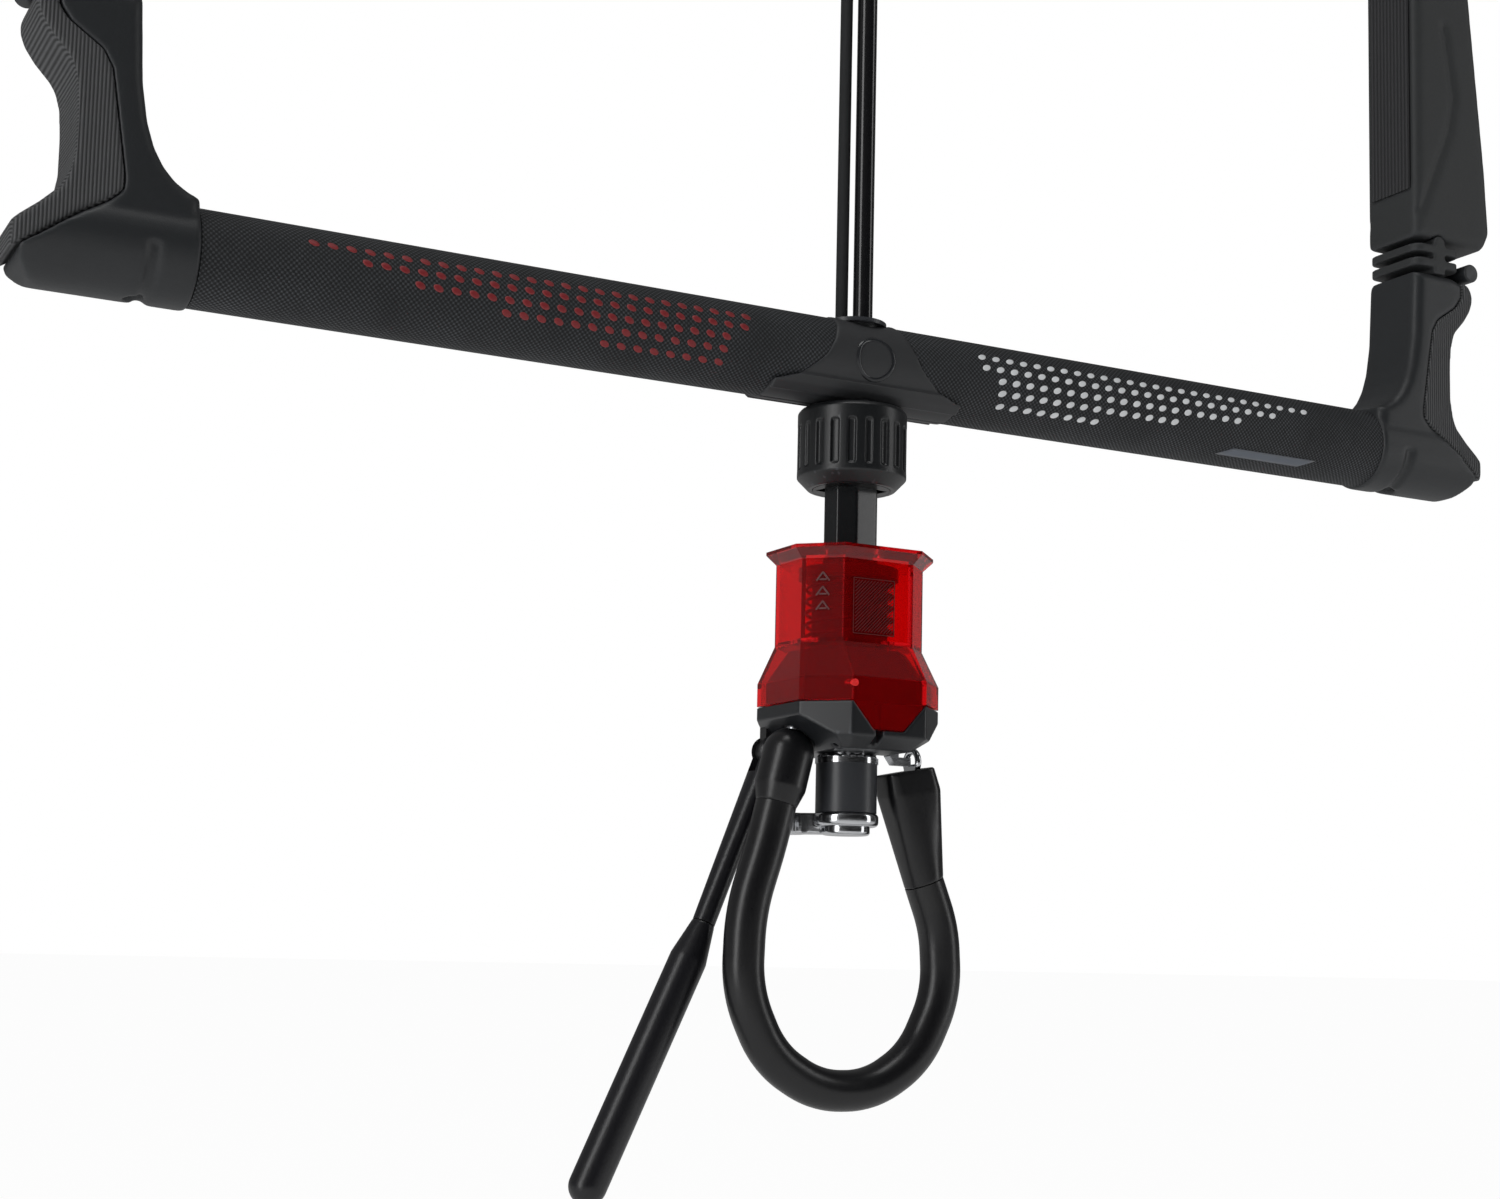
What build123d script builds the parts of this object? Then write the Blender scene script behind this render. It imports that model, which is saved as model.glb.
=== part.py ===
"""Kite control bar: bar, floats, centre lines, below-bar swivel, quick release and chicken loop.

Millimetres. +X runs along the bar to the right, +Y to the back, +Z up the centre lines.
The origin is the centre of the eye in the line head, from which everything hangs.
"""
import os
from math import cos, pi, radians, sin, tan

from build123d import *

os.makedirs("parts", exist_ok=True)

# ---------------------------------------------------------------- driving dimensions
BAR_DROP = 362.0  # eye of the line head down to the bar's axis
BAR_HALF = 254.0  # half of the overall 20 inch bar
GRIP_R = 13.5
GRIP_END = 207.5  # where a grip meets its end cap
CORE_R = 9.5
CORE_WALL = 1.5
FIT = 0.05  # radial gap of pieces fitted into each other
RUN = 0.3  # gap of pieces that move past each other

TRIM_LINE_R = 3.1  # thick covered line
TRIM_LINE_AT = (2.3, -1.25)
SAFETY_LINE_R = 1.95  # thin line beside it
SAFETY_LINE_AT = (-3.5, 1.9)
LINE_PORT_R = 6.9  # bore through the bar for both lines
SWIVEL_TURN = 12.0  # the upper swivel stands turned against the bar by this, degrees

KNOB_R = 17.0
KNOB_TOP = -14.6
KNOB_BOTTOM = -39.5
POST_X = 16.9
POST_Y = 14.2
POST_LEG = 4.2

RIM_TOP = -60.0
SLEEVE_X = 43.0
SLEEVE_Y = 35.0
SLEEVE_LEG = 9.4
SKIRT_X = 49.0
SKIRT_Y = 50.0
SKIRT_LEG = 11.8
SLEEVE_WALL = 2.2
WAIST = -89.3
SKIRT_TOP = -100.5
SKIRT_BOTTOM = -107.5
BASE_BOTTOM = -118.0
BASE_FLOOR = -121.5

COLUMN_R = 11.4
POST_BORE_R = 9.6
JOURNAL_R = 6.0

LOOP_PIVOT = (-20.5, -122.5)  # X and height of the ball on which the chicken loop turns
CUFF_LEAN = 14.0
TUBE_R = 6.25
CUFF_R = 7.8
STICK_Y = 14.3
STICK_PIVOT = (-19.6, -121.0)
HOOK_PIVOT = (16.0, -114.5)

SPOOL_R = 9.4
SPOOL_TOP = -124.6
SPOOL_BOTTOM = -139.6
LEASH_BOLT_R = 4.9
LEASH_REACH = 20.0
LEASH_TURN = 138.7  # direction of the leash eye round the axis, degrees
LEASH_EYE_R = 4.5

ARM_HALF_DEPTH = 12.8
NECK_X = 236.8  # the neck's spine, on which a float tilts
CAP_TOP = 65.4
GROOVE = 2.2
RIB = 3.0
FLOAT_BOTTOM = 78.0
FLOAT_TOP = 218.0

BAR_Z = -BAR_DROP
FRONT = Plane(origin=(0, 0, BAR_Z), x_dir=(1, 0, 0), z_dir=(0, -1, 0))
SIDES = (("left", -1), ("right", 1))
ACROSS_X = (0, 90, 0)  # turns a cylinder's axis to X
ACROSS_Y = (90, 0, 0)  # turns a cylinder's axis to Y


# ---------------------------------------------------------------- shared helpers
def level(height):
    """Horizontal plane at a height above the bar's axis."""
    return Plane.XY.offset(BAR_Z + height)


def spot(x, y, height):
    """Point given by its height above the bar's axis."""
    return (x, y, BAR_Z + height)


def section(x):
    """Plane across the bar at x, sketched as Y to the right and Z up."""
    return Plane(origin=(x, 0, BAR_Z), x_dir=(0, 1, 0), z_dir=(1, 0, 0))


def mirrored(points, side):
    """Outline points for the right end, carried to either end of the bar."""
    return [(side * x, z) for x, z in points]


def eight_sided(width, depth, leg):
    """Rectangle with its corners cut off, for use inside a sketch."""
    Rectangle(width, depth)
    chamfer(vertices(), leg)


def run_radii(points):
    """Largest tangent arc for each corner of a tube's route."""
    radii = []
    for before, here, after in zip(points, points[1:], points[2:]):
        run_in = Vector(*here) - Vector(*before)
        run_out = Vector(*after) - Vector(*here)
        half_turn = radians(run_in.get_angle(run_out)) / 2
        radii.append(0.45 * min(run_in.length, run_out.length) / tan(half_turn))
    return radii


def save(name, part):
    """Label a finished piece and write its STEP file."""
    part.label = name
    export_step(part, f"parts/{name}.step")


# ---------------------------------------------------------------- line head and centre lines
HEAD_TOP = 10.0
HEAD_FOOT = -24.0
EYE_R = 5.0
LINE_TOP = -20.0

with BuildPart() as line_head:
    with BuildSketch(Plane.XZ):
        with BuildLine():
            Polyline(
                [(-7, HEAD_TOP), (7, HEAD_TOP), (10, 4), (10, HEAD_FOOT), (-10, HEAD_FOOT), (-10, 4)],
                close=True,
            )
        make_face()
    extrude(amount=5.5, both=True)
    with BuildSketch(Plane.XY.offset(HEAD_FOOT)):
        Circle(8.2)
    extrude(amount=14)
    fillet(line_head.edges().filter_by(Axis.Y), 3)
    with Locations(Location((0, 0, 0), ACROSS_Y)):
        Cylinder(EYE_R, 40, mode=Mode.SUBTRACT)
    with BuildSketch(Plane.XY.offset(LINE_TOP)):
        with Locations(TRIM_LINE_AT):
            Circle(TRIM_LINE_R)
        with Locations(SAFETY_LINE_AT):
            Circle(SAFETY_LINE_R)
    extrude(amount=HEAD_FOOT - LINE_TOP, mode=Mode.SUBTRACT)
save("line_head", line_head.part)

LINE_FOOT = -34.0
LINE_LENGTH = LINE_TOP - (BAR_Z + LINE_FOOT)
for name, radius, centre in (
    ("trim_line", TRIM_LINE_R, TRIM_LINE_AT),
    ("safety_line", SAFETY_LINE_R, SAFETY_LINE_AT),
):
    with BuildPart() as line:
        with BuildSketch(level(LINE_FOOT)):
            with Locations(centre):
                Circle(radius)
        extrude(amount=LINE_LENGTH)
    save(name, line.part)
    line_volume = LINE_LENGTH * pi * radius**2
    print(name, "taut and straight, volume against its section", line.part.volume / line_volume)

# ---------------------------------------------------------------- swivel knob and post
SLOT_COUNT = 20
SLOT_DEPTH = 0.8
DOT_ANGLE = 212.5
DOT_HEIGHT = -27.0
LINER_R = 12.0

with BuildPart() as swivel_knob:
    with BuildSketch(Plane.XZ.offset(0)):
        with BuildLine():
            Polyline(
                (LINER_R + FIT, BAR_Z + KNOB_TOP),
                (KNOB_R - 1.0, BAR_Z + KNOB_TOP),
                (KNOB_R, BAR_Z + KNOB_TOP - 1.2),
                (KNOB_R, BAR_Z + KNOB_BOTTOM + 3.5),
                (KNOB_R - 3.4, BAR_Z + KNOB_BOTTOM),
                (LINER_R + FIT, BAR_Z + KNOB_BOTTOM),
                close=True,
            )
        make_face()
    revolve(axis=Axis.Z)
    with BuildSketch(level(-34.0)):
        with PolarLocations(KNOB_R, SLOT_COUNT, start_angle=DOT_ANGLE - 180 / SLOT_COUNT):
            Rectangle(2 * SLOT_DEPTH, 2.2)
    extrude(amount=14, mode=Mode.SUBTRACT)
    with Locations(Location(spot(0, 0, DOT_HEIGHT), (0, 90, DOT_ANGLE))):
        with Locations((0, 0, KNOB_R)):
            Cylinder(1.3, 2.4, mode=Mode.SUBTRACT)
save("swivel_knob", swivel_knob.part)

with BuildPart() as index_dot:
    with Locations(Location(spot(0, 0, DOT_HEIGHT), (0, 90, DOT_ANGLE))):
        with Locations((0, 0, KNOB_R - 0.55)):
            Cylinder(1.3 - FIT, 1.2)
save("index_dot", index_dot.part)

with BuildPart() as line_anchor:
    with BuildSketch(level(KNOB_BOTTOM)):
        Circle(LINER_R)
        with Locations(Rotation(0, 0, SWIVEL_TURN)):
            Rectangle(POST_X + 2 * FIT, POST_Y + 2 * FIT, mode=Mode.SUBTRACT)
    extrude(amount=4.5)
    with BuildSketch(level(KNOB_BOTTOM + 4.5)):
        Circle(LINER_R)
    extrude(amount=LINE_FOOT - (KNOB_BOTTOM + 4.5))
    with BuildSketch(level(LINE_FOOT)):
        Circle(LINER_R)
        with Locations(TRIM_LINE_AT):
            Circle(TRIM_LINE_R, mode=Mode.SUBTRACT)
        with Locations(SAFETY_LINE_AT):
            Circle(SAFETY_LINE_R, mode=Mode.SUBTRACT)
    extrude(amount=KNOB_TOP - LINE_FOOT)
save("line_anchor", line_anchor.part)

POST_TOP = KNOB_BOTTOM + 4.4
POST_FOOT = -94.0
JOURNAL_FOOT = -106.8
with BuildPart() as swivel_post:
    with BuildSketch(level(POST_FOOT)):
        with Locations(Rotation(0, 0, SWIVEL_TURN)):
            with BuildSketch(mode=Mode.PRIVATE) as post_outline:
                eight_sided(POST_X, POST_Y, POST_LEG)
            add(post_outline.sketch)
    extrude(amount=POST_TOP - POST_FOOT)
    with BuildSketch(level(JOURNAL_FOOT)):
        Circle(JOURNAL_R)
    extrude(amount=POST_FOOT - JOURNAL_FOOT)
save("swivel_post", swivel_post.part)

with BuildPart() as post_nut:
    with BuildSketch(level(JOURNAL_FOOT)):
        RegularPolygon(8.0, 6)
        Circle(JOURNAL_R + FIT, mode=Mode.SUBTRACT)
    extrude(amount=4.2)
save("post_nut", post_nut.part)

# ---------------------------------------------------------------- release core, spring and base
CORE_TOP = -91.0
COLUMN_TOP = -68.0
CORE_FLOOR = -94.3

with BuildPart() as release_core:
    for low, high, small, large in (
        (SKIRT_TOP, CORE_TOP, (33.0, 27.0, 7.5), (42.6, 43.2, 10.6)),
        (SKIRT_BOTTOM, SKIRT_TOP, (42.6, 43.2, 10.6), (42.6, 43.2, 10.6)),
    ):
        with BuildSketch(level(high)):
            eight_sided(*small)
        with BuildSketch(level(low)):
            eight_sided(*large)
        loft(ruled=True)
    with BuildSketch(level(CORE_TOP)):
        Circle(COLUMN_R)
    extrude(amount=COLUMN_TOP - CORE_TOP)
    with BuildSketch(level(CORE_FLOOR)):
        Circle(POST_BORE_R)
    extrude(amount=COLUMN_TOP - CORE_FLOOR, mode=Mode.SUBTRACT)
    with BuildSketch(level(SKIRT_BOTTOM)):
        Circle(JOURNAL_R + FIT)
    extrude(amount=CORE_FLOOR - SKIRT_BOTTOM, mode=Mode.SUBTRACT)
    with BuildSketch(level(SKIRT_BOTTOM)):
        Circle(8.6)
    extrude(amount=6.5, mode=Mode.SUBTRACT)
save("release_core", release_core.part)

with BuildPart() as thrust_washer:
    with BuildSketch(level(-102.3)):
        Circle(8.3)
        Circle(JOURNAL_R + FIT, mode=Mode.SUBTRACT)
    extrude(amount=1.25)
save("thrust_washer", thrust_washer.part)

with BuildPart() as column_nut:
    with BuildSketch(level(COLUMN_TOP)):
        Circle(14.6)
        Circle(POST_BORE_R, mode=Mode.SUBTRACT)
    extrude(amount=3.4)
save("column_nut", column_nut.part)

SEAT_TOP = -88.0
SPRING_TURNS = 5
SPRING_WIRE_R = 0.6
SPRING_R = 13.0
SPRING_GAP = COLUMN_TOP - SEAT_TOP - 2 * SPRING_WIRE_R - 0.1
with BuildPart() as return_spring:
    with BuildLine(level(SEAT_TOP + SPRING_WIRE_R + 0.05)) as coil:
        Helix(pitch=SPRING_GAP / SPRING_TURNS, height=SPRING_GAP, radius=SPRING_R)
    with BuildSketch(Plane(origin=coil.line @ 0, z_dir=coil.line % 0)):
        Circle(SPRING_WIRE_R)
    sweep(is_frenet=True)
save("return_spring", return_spring.part)

LOCK_MARK = Location(spot(-12.3, -24.1, -102.6), (90, 0, -22.5))
with BuildPart() as lock_mark:
    with Locations(LOCK_MARK):
        Cylinder(1.1, 2.6)
save("lock_mark", lock_mark.part)

PIVOT = spot(LOOP_PIVOT[0], 0, LOOP_PIVOT[1])
CUFF_AXIS = Plane(
    origin=PIVOT,
    x_dir=(0, 1, 0),
    z_dir=(-sin(radians(CUFF_LEAN)), 0, -cos(radians(CUFF_LEAN))),
)
STUD_R = 2.5
STUD_RISE = 13.6

TAB_FOOT = -116.0
TAB_TOP_HALF = 12.5
TAB_FOOT_HALF = 4.8


def tab_outline(gap):
    """Shield-shaped tab of the sleeve, grown by gap."""
    with BuildSketch() as outline:
        with BuildLine():
            Polyline(
                (-TAB_TOP_HALF - gap, SKIRT_BOTTOM + 1),
                (-TAB_TOP_HALF - gap, SKIRT_BOTTOM),
                (-TAB_FOOT_HALF - gap, TAB_FOOT - gap),
                (TAB_FOOT_HALF + gap, TAB_FOOT - gap),
                (TAB_TOP_HALF + gap, SKIRT_BOTTOM),
                (TAB_TOP_HALF + gap, SKIRT_BOTTOM + 1),
                close=True,
            )
        make_face()
    return outline.sketch


with BuildPart() as base_shell:
    with BuildSketch(level(BASE_BOTTOM)):
        eight_sided(SKIRT_X, SKIRT_Y, SKIRT_LEG)
    extrude(amount=SKIRT_BOTTOM - RUN - BASE_BOTTOM)
    with BuildSketch(level(BASE_BOTTOM)):
        eight_sided(SKIRT_X, SKIRT_Y, SKIRT_LEG)
    with BuildSketch(level(BASE_FLOOR)):
        eight_sided(SKIRT_X - 11, SKIRT_Y - 11, SKIRT_LEG - 3)
    loft(ruled=True)
    # recesses for the sleeve's front and back tabs
    for side in (-1, 1):
        with BuildSketch(FRONT.offset(side * (SKIRT_Y / 2 - SLEEVE_WALL - RUN))):
            add(tab_outline(RUN))
        extrude(amount=side * 5, mode=Mode.SUBTRACT)
    # both flanks rise towards the sides
    for side in (-1, 1):
        with BuildSketch(FRONT):
            with BuildLine():
                Polyline(
                    (side * 10.4, BASE_FLOOR - 1),
                    (side * 26, BASE_FLOOR + 10.8),
                    (side * 26, BASE_FLOOR - 1),
                    close=True,
                )
            make_face()
        extrude(amount=30, both=True, mode=Mode.SUBTRACT)
    # slot below the front tab
    with Locations(spot(-3.4, -SKIRT_Y / 2, -116)):
        Box(2.6, 9, 16, mode=Mode.SUBTRACT)
    # head of the leash bolt and its shank
    with BuildSketch(level(BASE_FLOOR)):
        Circle(LEASH_BOLT_R + FIT)
    extrude(amount=20, mode=Mode.SUBTRACT)
    with BuildSketch(level(-113.0)):
        Circle(8.1)
    extrude(amount=10, mode=Mode.SUBTRACT)
    # socket of the chicken loop, and the hole of its stud
    with Locations(PIVOT):
        Sphere(CUFF_R + 0.6, mode=Mode.SUBTRACT)
    with BuildSketch(CUFF_AXIS.offset(-STUD_RISE)):
        Circle(STUD_R + FIT)
    extrude(amount=STUD_RISE, mode=Mode.SUBTRACT)
    # slot of the release hook
    with Locations(spot(14.3, 0, -118)):
        Box(11.4, 5, 14.2, mode=Mode.SUBTRACT)
    with Locations(Location(spot(HOOK_PIVOT[0], 0, HOOK_PIVOT[1]), ACROSS_Y)):
        Cylinder(1.5 + FIT, 16, mode=Mode.SUBTRACT)
    # slot of the stick's lug
    with Locations(spot(STICK_PIVOT[0] + 1.5, STICK_Y, -114)):
        Box(7.1, 4.1, 12, mode=Mode.SUBTRACT)
    with Locations(spot(STICK_PIVOT[0], STICK_Y, STICK_PIVOT[1])):
        Sphere(6.2, mode=Mode.SUBTRACT)
    # screw holes up into the core
    for x, y in ((-12, -15), (14, -15), (14, 15), (2, 17)):
        with Locations(spot(x, y, -114)):
            Cylinder(1.5, 30, mode=Mode.SUBTRACT)
save("base_shell", base_shell.part)

with BuildPart() as base_screws:
    for x, y in ((-12, -15), (14, -15), (14, 15), (2, 17)):
        with Locations(spot(x, y, -112.5)):
            Cylinder(1.5 - FIT, 9.2)
save("base_screws", base_screws.part)

# ---------------------------------------------------------------- release sleeve
with BuildPart() as release_sleeve:
    for mode, wall in ((Mode.ADD, 0.0), (Mode.SUBTRACT, SLEEVE_WALL)):
        body = (SLEEVE_X - 2 * wall, SLEEVE_Y - 2 * wall, SLEEVE_LEG - 0.59 * wall)
        skirt = (SKIRT_X - 2 * wall, SKIRT_Y - 2 * wall, SKIRT_LEG - 0.59 * wall)
        top = RIM_TOP - 3.4 if wall else RIM_TOP - 4.0
        with BuildSketch(level(WAIST)):
            eight_sided(*body)
        extrude(amount=top - WAIST, mode=mode)
        with BuildSketch(level(WAIST)):
            eight_sided(*body)
        with BuildSketch(level(SKIRT_TOP)):
            eight_sided(*skirt)
        loft(ruled=True, mode=mode)
        with BuildSketch(level(SKIRT_BOTTOM)):
            eight_sided(*skirt)
        extrude(amount=SKIRT_TOP - SKIRT_BOTTOM, mode=mode)
    # flared rim with its top plate
    with BuildSketch(level(RIM_TOP - 4.0)):
        eight_sided(SLEEVE_X, SLEEVE_Y, SLEEVE_LEG)
    with BuildSketch(level(RIM_TOP - 1.0)):
        eight_sided(SLEEVE_X + 5.8, SLEEVE_Y + 5.8, SLEEVE_LEG + 1.6)
    loft(ruled=True)
    with BuildSketch(level(RIM_TOP - 1.0)):
        eight_sided(SLEEVE_X + 5.8, SLEEVE_Y + 5.8, SLEEVE_LEG + 1.6)
    extrude(amount=1.0)
    with BuildSketch(level(RIM_TOP - 4.2)):
        eight_sided(SLEEVE_X - 2 * SLEEVE_WALL, SLEEVE_Y - 2 * SLEEVE_WALL, SLEEVE_LEG - 1.3)
    extrude(amount=2.2, mode=Mode.SUBTRACT)
    # dished top, and the hole that the post comes through
    with BuildSketch(level(RIM_TOP)):
        Circle(POST_BORE_R)
    extrude(amount=-5, mode=Mode.SUBTRACT)
    # seat of the return spring
    with BuildSketch(level(SEAT_TOP - 1.6)):
        eight_sided(SLEEVE_X - 2 * SLEEVE_WALL + 0.5, SLEEVE_Y - 2 * SLEEVE_WALL + 0.5, SLEEVE_LEG - 1.3)
        Circle(COLUMN_R + RUN, mode=Mode.SUBTRACT)
    extrude(amount=1.6)
    # front and back tabs
    for side in (-1, 1):
        with BuildSketch(FRONT.offset(side * (SKIRT_Y / 2 - SLEEVE_WALL))):
            add(tab_outline(0))
        extrude(amount=side * SLEEVE_WALL)
    with Locations(LOCK_MARK):
        Cylinder(1.1 + FIT, 6, mode=Mode.SUBTRACT)
save("release_sleeve", release_sleeve.part)

# ---------------------------------------------------------------- leash swivel
CROWN_TOP = BASE_FLOOR
with BuildPart() as ball_race:
    with BuildSketch(level(-123.2)):
        Circle(6.9)
        Circle(LEASH_BOLT_R + FIT, mode=Mode.SUBTRACT)
    extrude(amount=CROWN_TOP + 123.2 - FIT)
save("ball_race", ball_race.part)

BALL_R = 1.15
with BuildPart() as bearing_balls:
    with Locations(spot(0, 0, -122.8)):
        with PolarLocations(8.1, 20):
            Sphere(BALL_R)
save("bearing_balls", bearing_balls.part)

with BuildPart() as upper_ring:
    with BuildSketch(level(SPOOL_TOP)):
        Circle(SPOOL_R + 0.3)
        Circle(LEASH_BOLT_R + FIT, mode=Mode.SUBTRACT)
    extrude(amount=0.55)
    with BuildSketch(level(SPOOL_TOP + 0.55)):
        Circle(SPOOL_R + 0.3)
        Circle(SPOOL_R - 0.05, mode=Mode.SUBTRACT)
    extrude(amount=1.2)
save("upper_ring", upper_ring.part)

with BuildPart() as leash_spool:
    with BuildSketch(level(SPOOL_BOTTOM)):
        Circle(SPOOL_R)
        Circle(LEASH_BOLT_R + FIT, mode=Mode.SUBTRACT)
    extrude(amount=SPOOL_TOP - SPOOL_BOTTOM)
save("leash_spool", leash_spool.part)

RING_BOTTOM = -143.8
ARM_BOTTOM = -146.0
eye_centre = (
    LEASH_REACH * cos(radians(LEASH_TURN)),
    LEASH_REACH * sin(radians(LEASH_TURN)),
)
with BuildPart() as leash_ring:
    with BuildSketch(level(RING_BOTTOM)):
        Circle(SPOOL_R + 0.6)
    extrude(amount=SPOOL_BOTTOM - RING_BOTTOM)
    fillet(leash_ring.edges(), 1.4)
    with BuildSketch(level(ARM_BOTTOM)):
        with Locations(eye_centre):
            Circle(8.0)
        with Locations(Location((0, 0, 0), (0, 0, LEASH_TURN))):
            with Locations((LEASH_REACH / 2 + 1, 0)):
                Rectangle(LEASH_REACH - 2, 9)
        Circle(8.2, mode=Mode.SUBTRACT)
    extrude(amount=SPOOL_BOTTOM - 0.2 - ARM_BOTTOM)
    with BuildSketch(level(ARM_BOTTOM)):
        with Locations(eye_centre):
            Circle(LEASH_EYE_R)
        Circle(LEASH_BOLT_R + FIT)
    extrude(amount=10, mode=Mode.SUBTRACT)
save("leash_ring", leash_ring.part)

BOLT_FOOT = -146.4
with BuildPart() as leash_bolt:
    with BuildSketch(level(BOLT_FOOT + 0.6)):
        Circle(LEASH_BOLT_R)
    extrude(amount=-113.0 - BOLT_FOOT - 0.6)
    with BuildSketch(level(-113.0)):
        Circle(7.9)
    extrude(amount=4.5)
save("leash_bolt", leash_bolt.part)

with BuildPart() as spool_nut:
    with BuildSketch(level(BOLT_FOOT)):
        Circle(7.4)
    extrude(amount=RING_BOTTOM - FIT - BOLT_FOOT)
    fillet(spool_nut.edges().group_by(Axis.Z)[0], 1.0)
    with BuildSketch(level(BOLT_FOOT + 0.6)):
        Circle(LEASH_BOLT_R + FIT)
    extrude(amount=4, mode=Mode.SUBTRACT)
save("spool_nut", spool_nut.part)

# ---------------------------------------------------------------- chicken loop
with BuildPart() as loop_stud:
    with BuildSketch(CUFF_AXIS.offset(-STUD_RISE)):
        Circle(STUD_R)
    extrude(amount=STUD_RISE + 9)
    with BuildSketch(CUFF_AXIS.offset(6.4)):
        Circle(STUD_R + 1.2)
    extrude(amount=2.6)
save("loop_stud", loop_stud.part)

with BuildPart() as loop_cuff:
    with Locations(PIVOT):
        Sphere(CUFF_R)
    with BuildSketch(CUFF_AXIS):
        Circle(CUFF_R)
    extrude(amount=10.5)
    with BuildSketch(CUFF_AXIS.offset(10.5)):
        Circle(CUFF_R)
    with BuildSketch(CUFF_AXIS.offset(16)):
        Circle(TUBE_R)
    loft()
    # bore of the stud and the room for its head
    with BuildSketch(CUFF_AXIS.offset(-CUFF_R - 1)):
        Circle(STUD_R + FIT)
    extrude(amount=CUFF_R + 8, mode=Mode.SUBTRACT)
    with BuildSketch(CUFF_AXIS.offset(6.2)):
        Circle(STUD_R + 1.5)
    extrude(amount=3.1, mode=Mode.SUBTRACT)
save("loop_cuff", loop_cuff.part)



def below_pivot(distance):
    """Point on the cuff's axis, drawn on the front plane."""
    lean = radians(CUFF_LEAN)
    return (LOOP_PIVOT[0] - distance * sin(lean), LOOP_PIVOT[1] - distance * cos(lean))


TUBE_END = (28.6, -160.0)
LOOP_ROUTE = [
    below_pivot(16),
    below_pivot(29),
    (-33.8, -170.0),
    (-34.6, -194.0),
    (-25.0, -213.5),
    (-8.5, -223.4),
    (10.0, -223.4),
    (26.0, -213.5),
    (35.4, -194.0),
    (34.2, -174.0),
    TUBE_END,
]
loop_radii = run_radii(LOOP_ROUTE)
print("loop radii", [round(radius, 1) for radius in loop_radii])
with BuildPart() as loop_tube:
    with BuildLine(FRONT) as loop_path:
        FilletPolyline(*LOOP_ROUTE, radius=loop_radii)
    with BuildSketch(Plane(origin=loop_path.line @ 0, z_dir=loop_path.line % 0)):
        Circle(TUBE_R)
    sweep()
save("loop_tube", loop_tube.part)
loop_wire = loop_path.wires()[0]
print("loop tube volume against its section", loop_tube.part.volume / (loop_wire.length * pi * TUBE_R**2))

end_direction = loop_path.line % 1
end_point = loop_path.line @ 1
END_PLANE = Plane(origin=end_point, x_dir=(0, 1, 0), z_dir=end_direction)
BLOCK_TOP = Plane(origin=spot(20.6, 0, -125.6), x_dir=(0, 1, 0), z_dir=(-0.2, 0, 0.98))
BLOCK_MID = Plane(origin=spot(22.6, 0, -132.5), x_dir=(0, 1, 0), z_dir=(-0.2, 0, 0.98))
with BuildPart() as loop_end:
    with BuildSketch(END_PLANE):
        Circle(TUBE_R)
    with BuildSketch(BLOCK_MID):
        RectangleRounded(13.4, 18.6, 4)
    loft()
    with BuildSketch(BLOCK_MID):
        RectangleRounded(13.4, 18.6, 4)
    with BuildSketch(BLOCK_TOP):
        RectangleRounded(12.8, 17.0, 3)
    loft()
    # notch that takes the link's lower bend
    with Locations(spot(23.8, 0, -124.5)):
        Box(3.6, 9.8, 8.2, mode=Mode.SUBTRACT)
save("loop_end", loop_end.part)

LINK_WIRE_R = 1.0
LINK_HEIGHT = -122.7
with BuildPart() as link_ring:
    with Locations(Location(spot(23.6, 0, LINK_HEIGHT), (0, 90, 0))):
        Torus(3.5, LINK_WIRE_R)
    with BuildSketch(FRONT):
        with Locations((23.6, -125.9)):
            Rectangle(2.0, 5.0)
    extrude(amount=3.2, both=True)
save("link_ring", link_ring.part)

with BuildPart() as release_hook:
    with BuildSketch(FRONT):
        with Locations(HOOK_PIVOT):
            Circle(3.0)
        with BuildLine():
            Polyline(
                (HOOK_PIVOT[0] - 1.6, HOOK_PIVOT[1]),
                (HOOK_PIVOT[0] - 1.6, LINK_HEIGHT + 1.4),
                (HOOK_PIVOT[0] + 0.4, LINK_HEIGHT - 1.2),
                (22.0, LINK_HEIGHT - 1.2),
                (22.0, LINK_HEIGHT + 1.2),
                (HOOK_PIVOT[0] + 1.6, LINK_HEIGHT + 1.2),
                (HOOK_PIVOT[0] + 1.6, HOOK_PIVOT[1]),
                close=True,
            )
        make_face()
        with Locations(HOOK_PIVOT):
            Circle(1.5 + FIT, mode=Mode.SUBTRACT)
    extrude(amount=1.8, both=True)
save("release_hook", release_hook.part)

with BuildPart() as hook_pin:
    with Locations(Location(spot(HOOK_PIVOT[0], 0, HOOK_PIVOT[1]), ACROSS_Y)):
        Cylinder(1.5, 15)
save("hook_pin", hook_pin.part)

# ---------------------------------------------------------------- chicken stick
STICK_JOINT = (-42.0, -177.5)
STICK_TIP = (-78.6, -256.0)
with BuildPart() as stick_lug:
    with BuildSketch(FRONT.offset(-STICK_Y)):
        with Locations(STICK_PIVOT):
            Circle(3.5)
        with Locations((STICK_PIVOT[0] + 1.5, STICK_PIVOT[1] + 6.5)):
            Rectangle(7, 12.6)
        with Locations(STICK_PIVOT):
            Circle(1.5 + FIT, mode=Mode.SUBTRACT)
    extrude(amount=2, both=True)
save("stick_lug", stick_lug.part)

with BuildPart() as stick_pin:
    with Locations(Location(spot(STICK_PIVOT[0], STICK_Y, STICK_PIVOT[1]), ACROSS_Y)):
        Cylinder(1.5, 9.6)
save("stick_pin", stick_pin.part)

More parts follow.
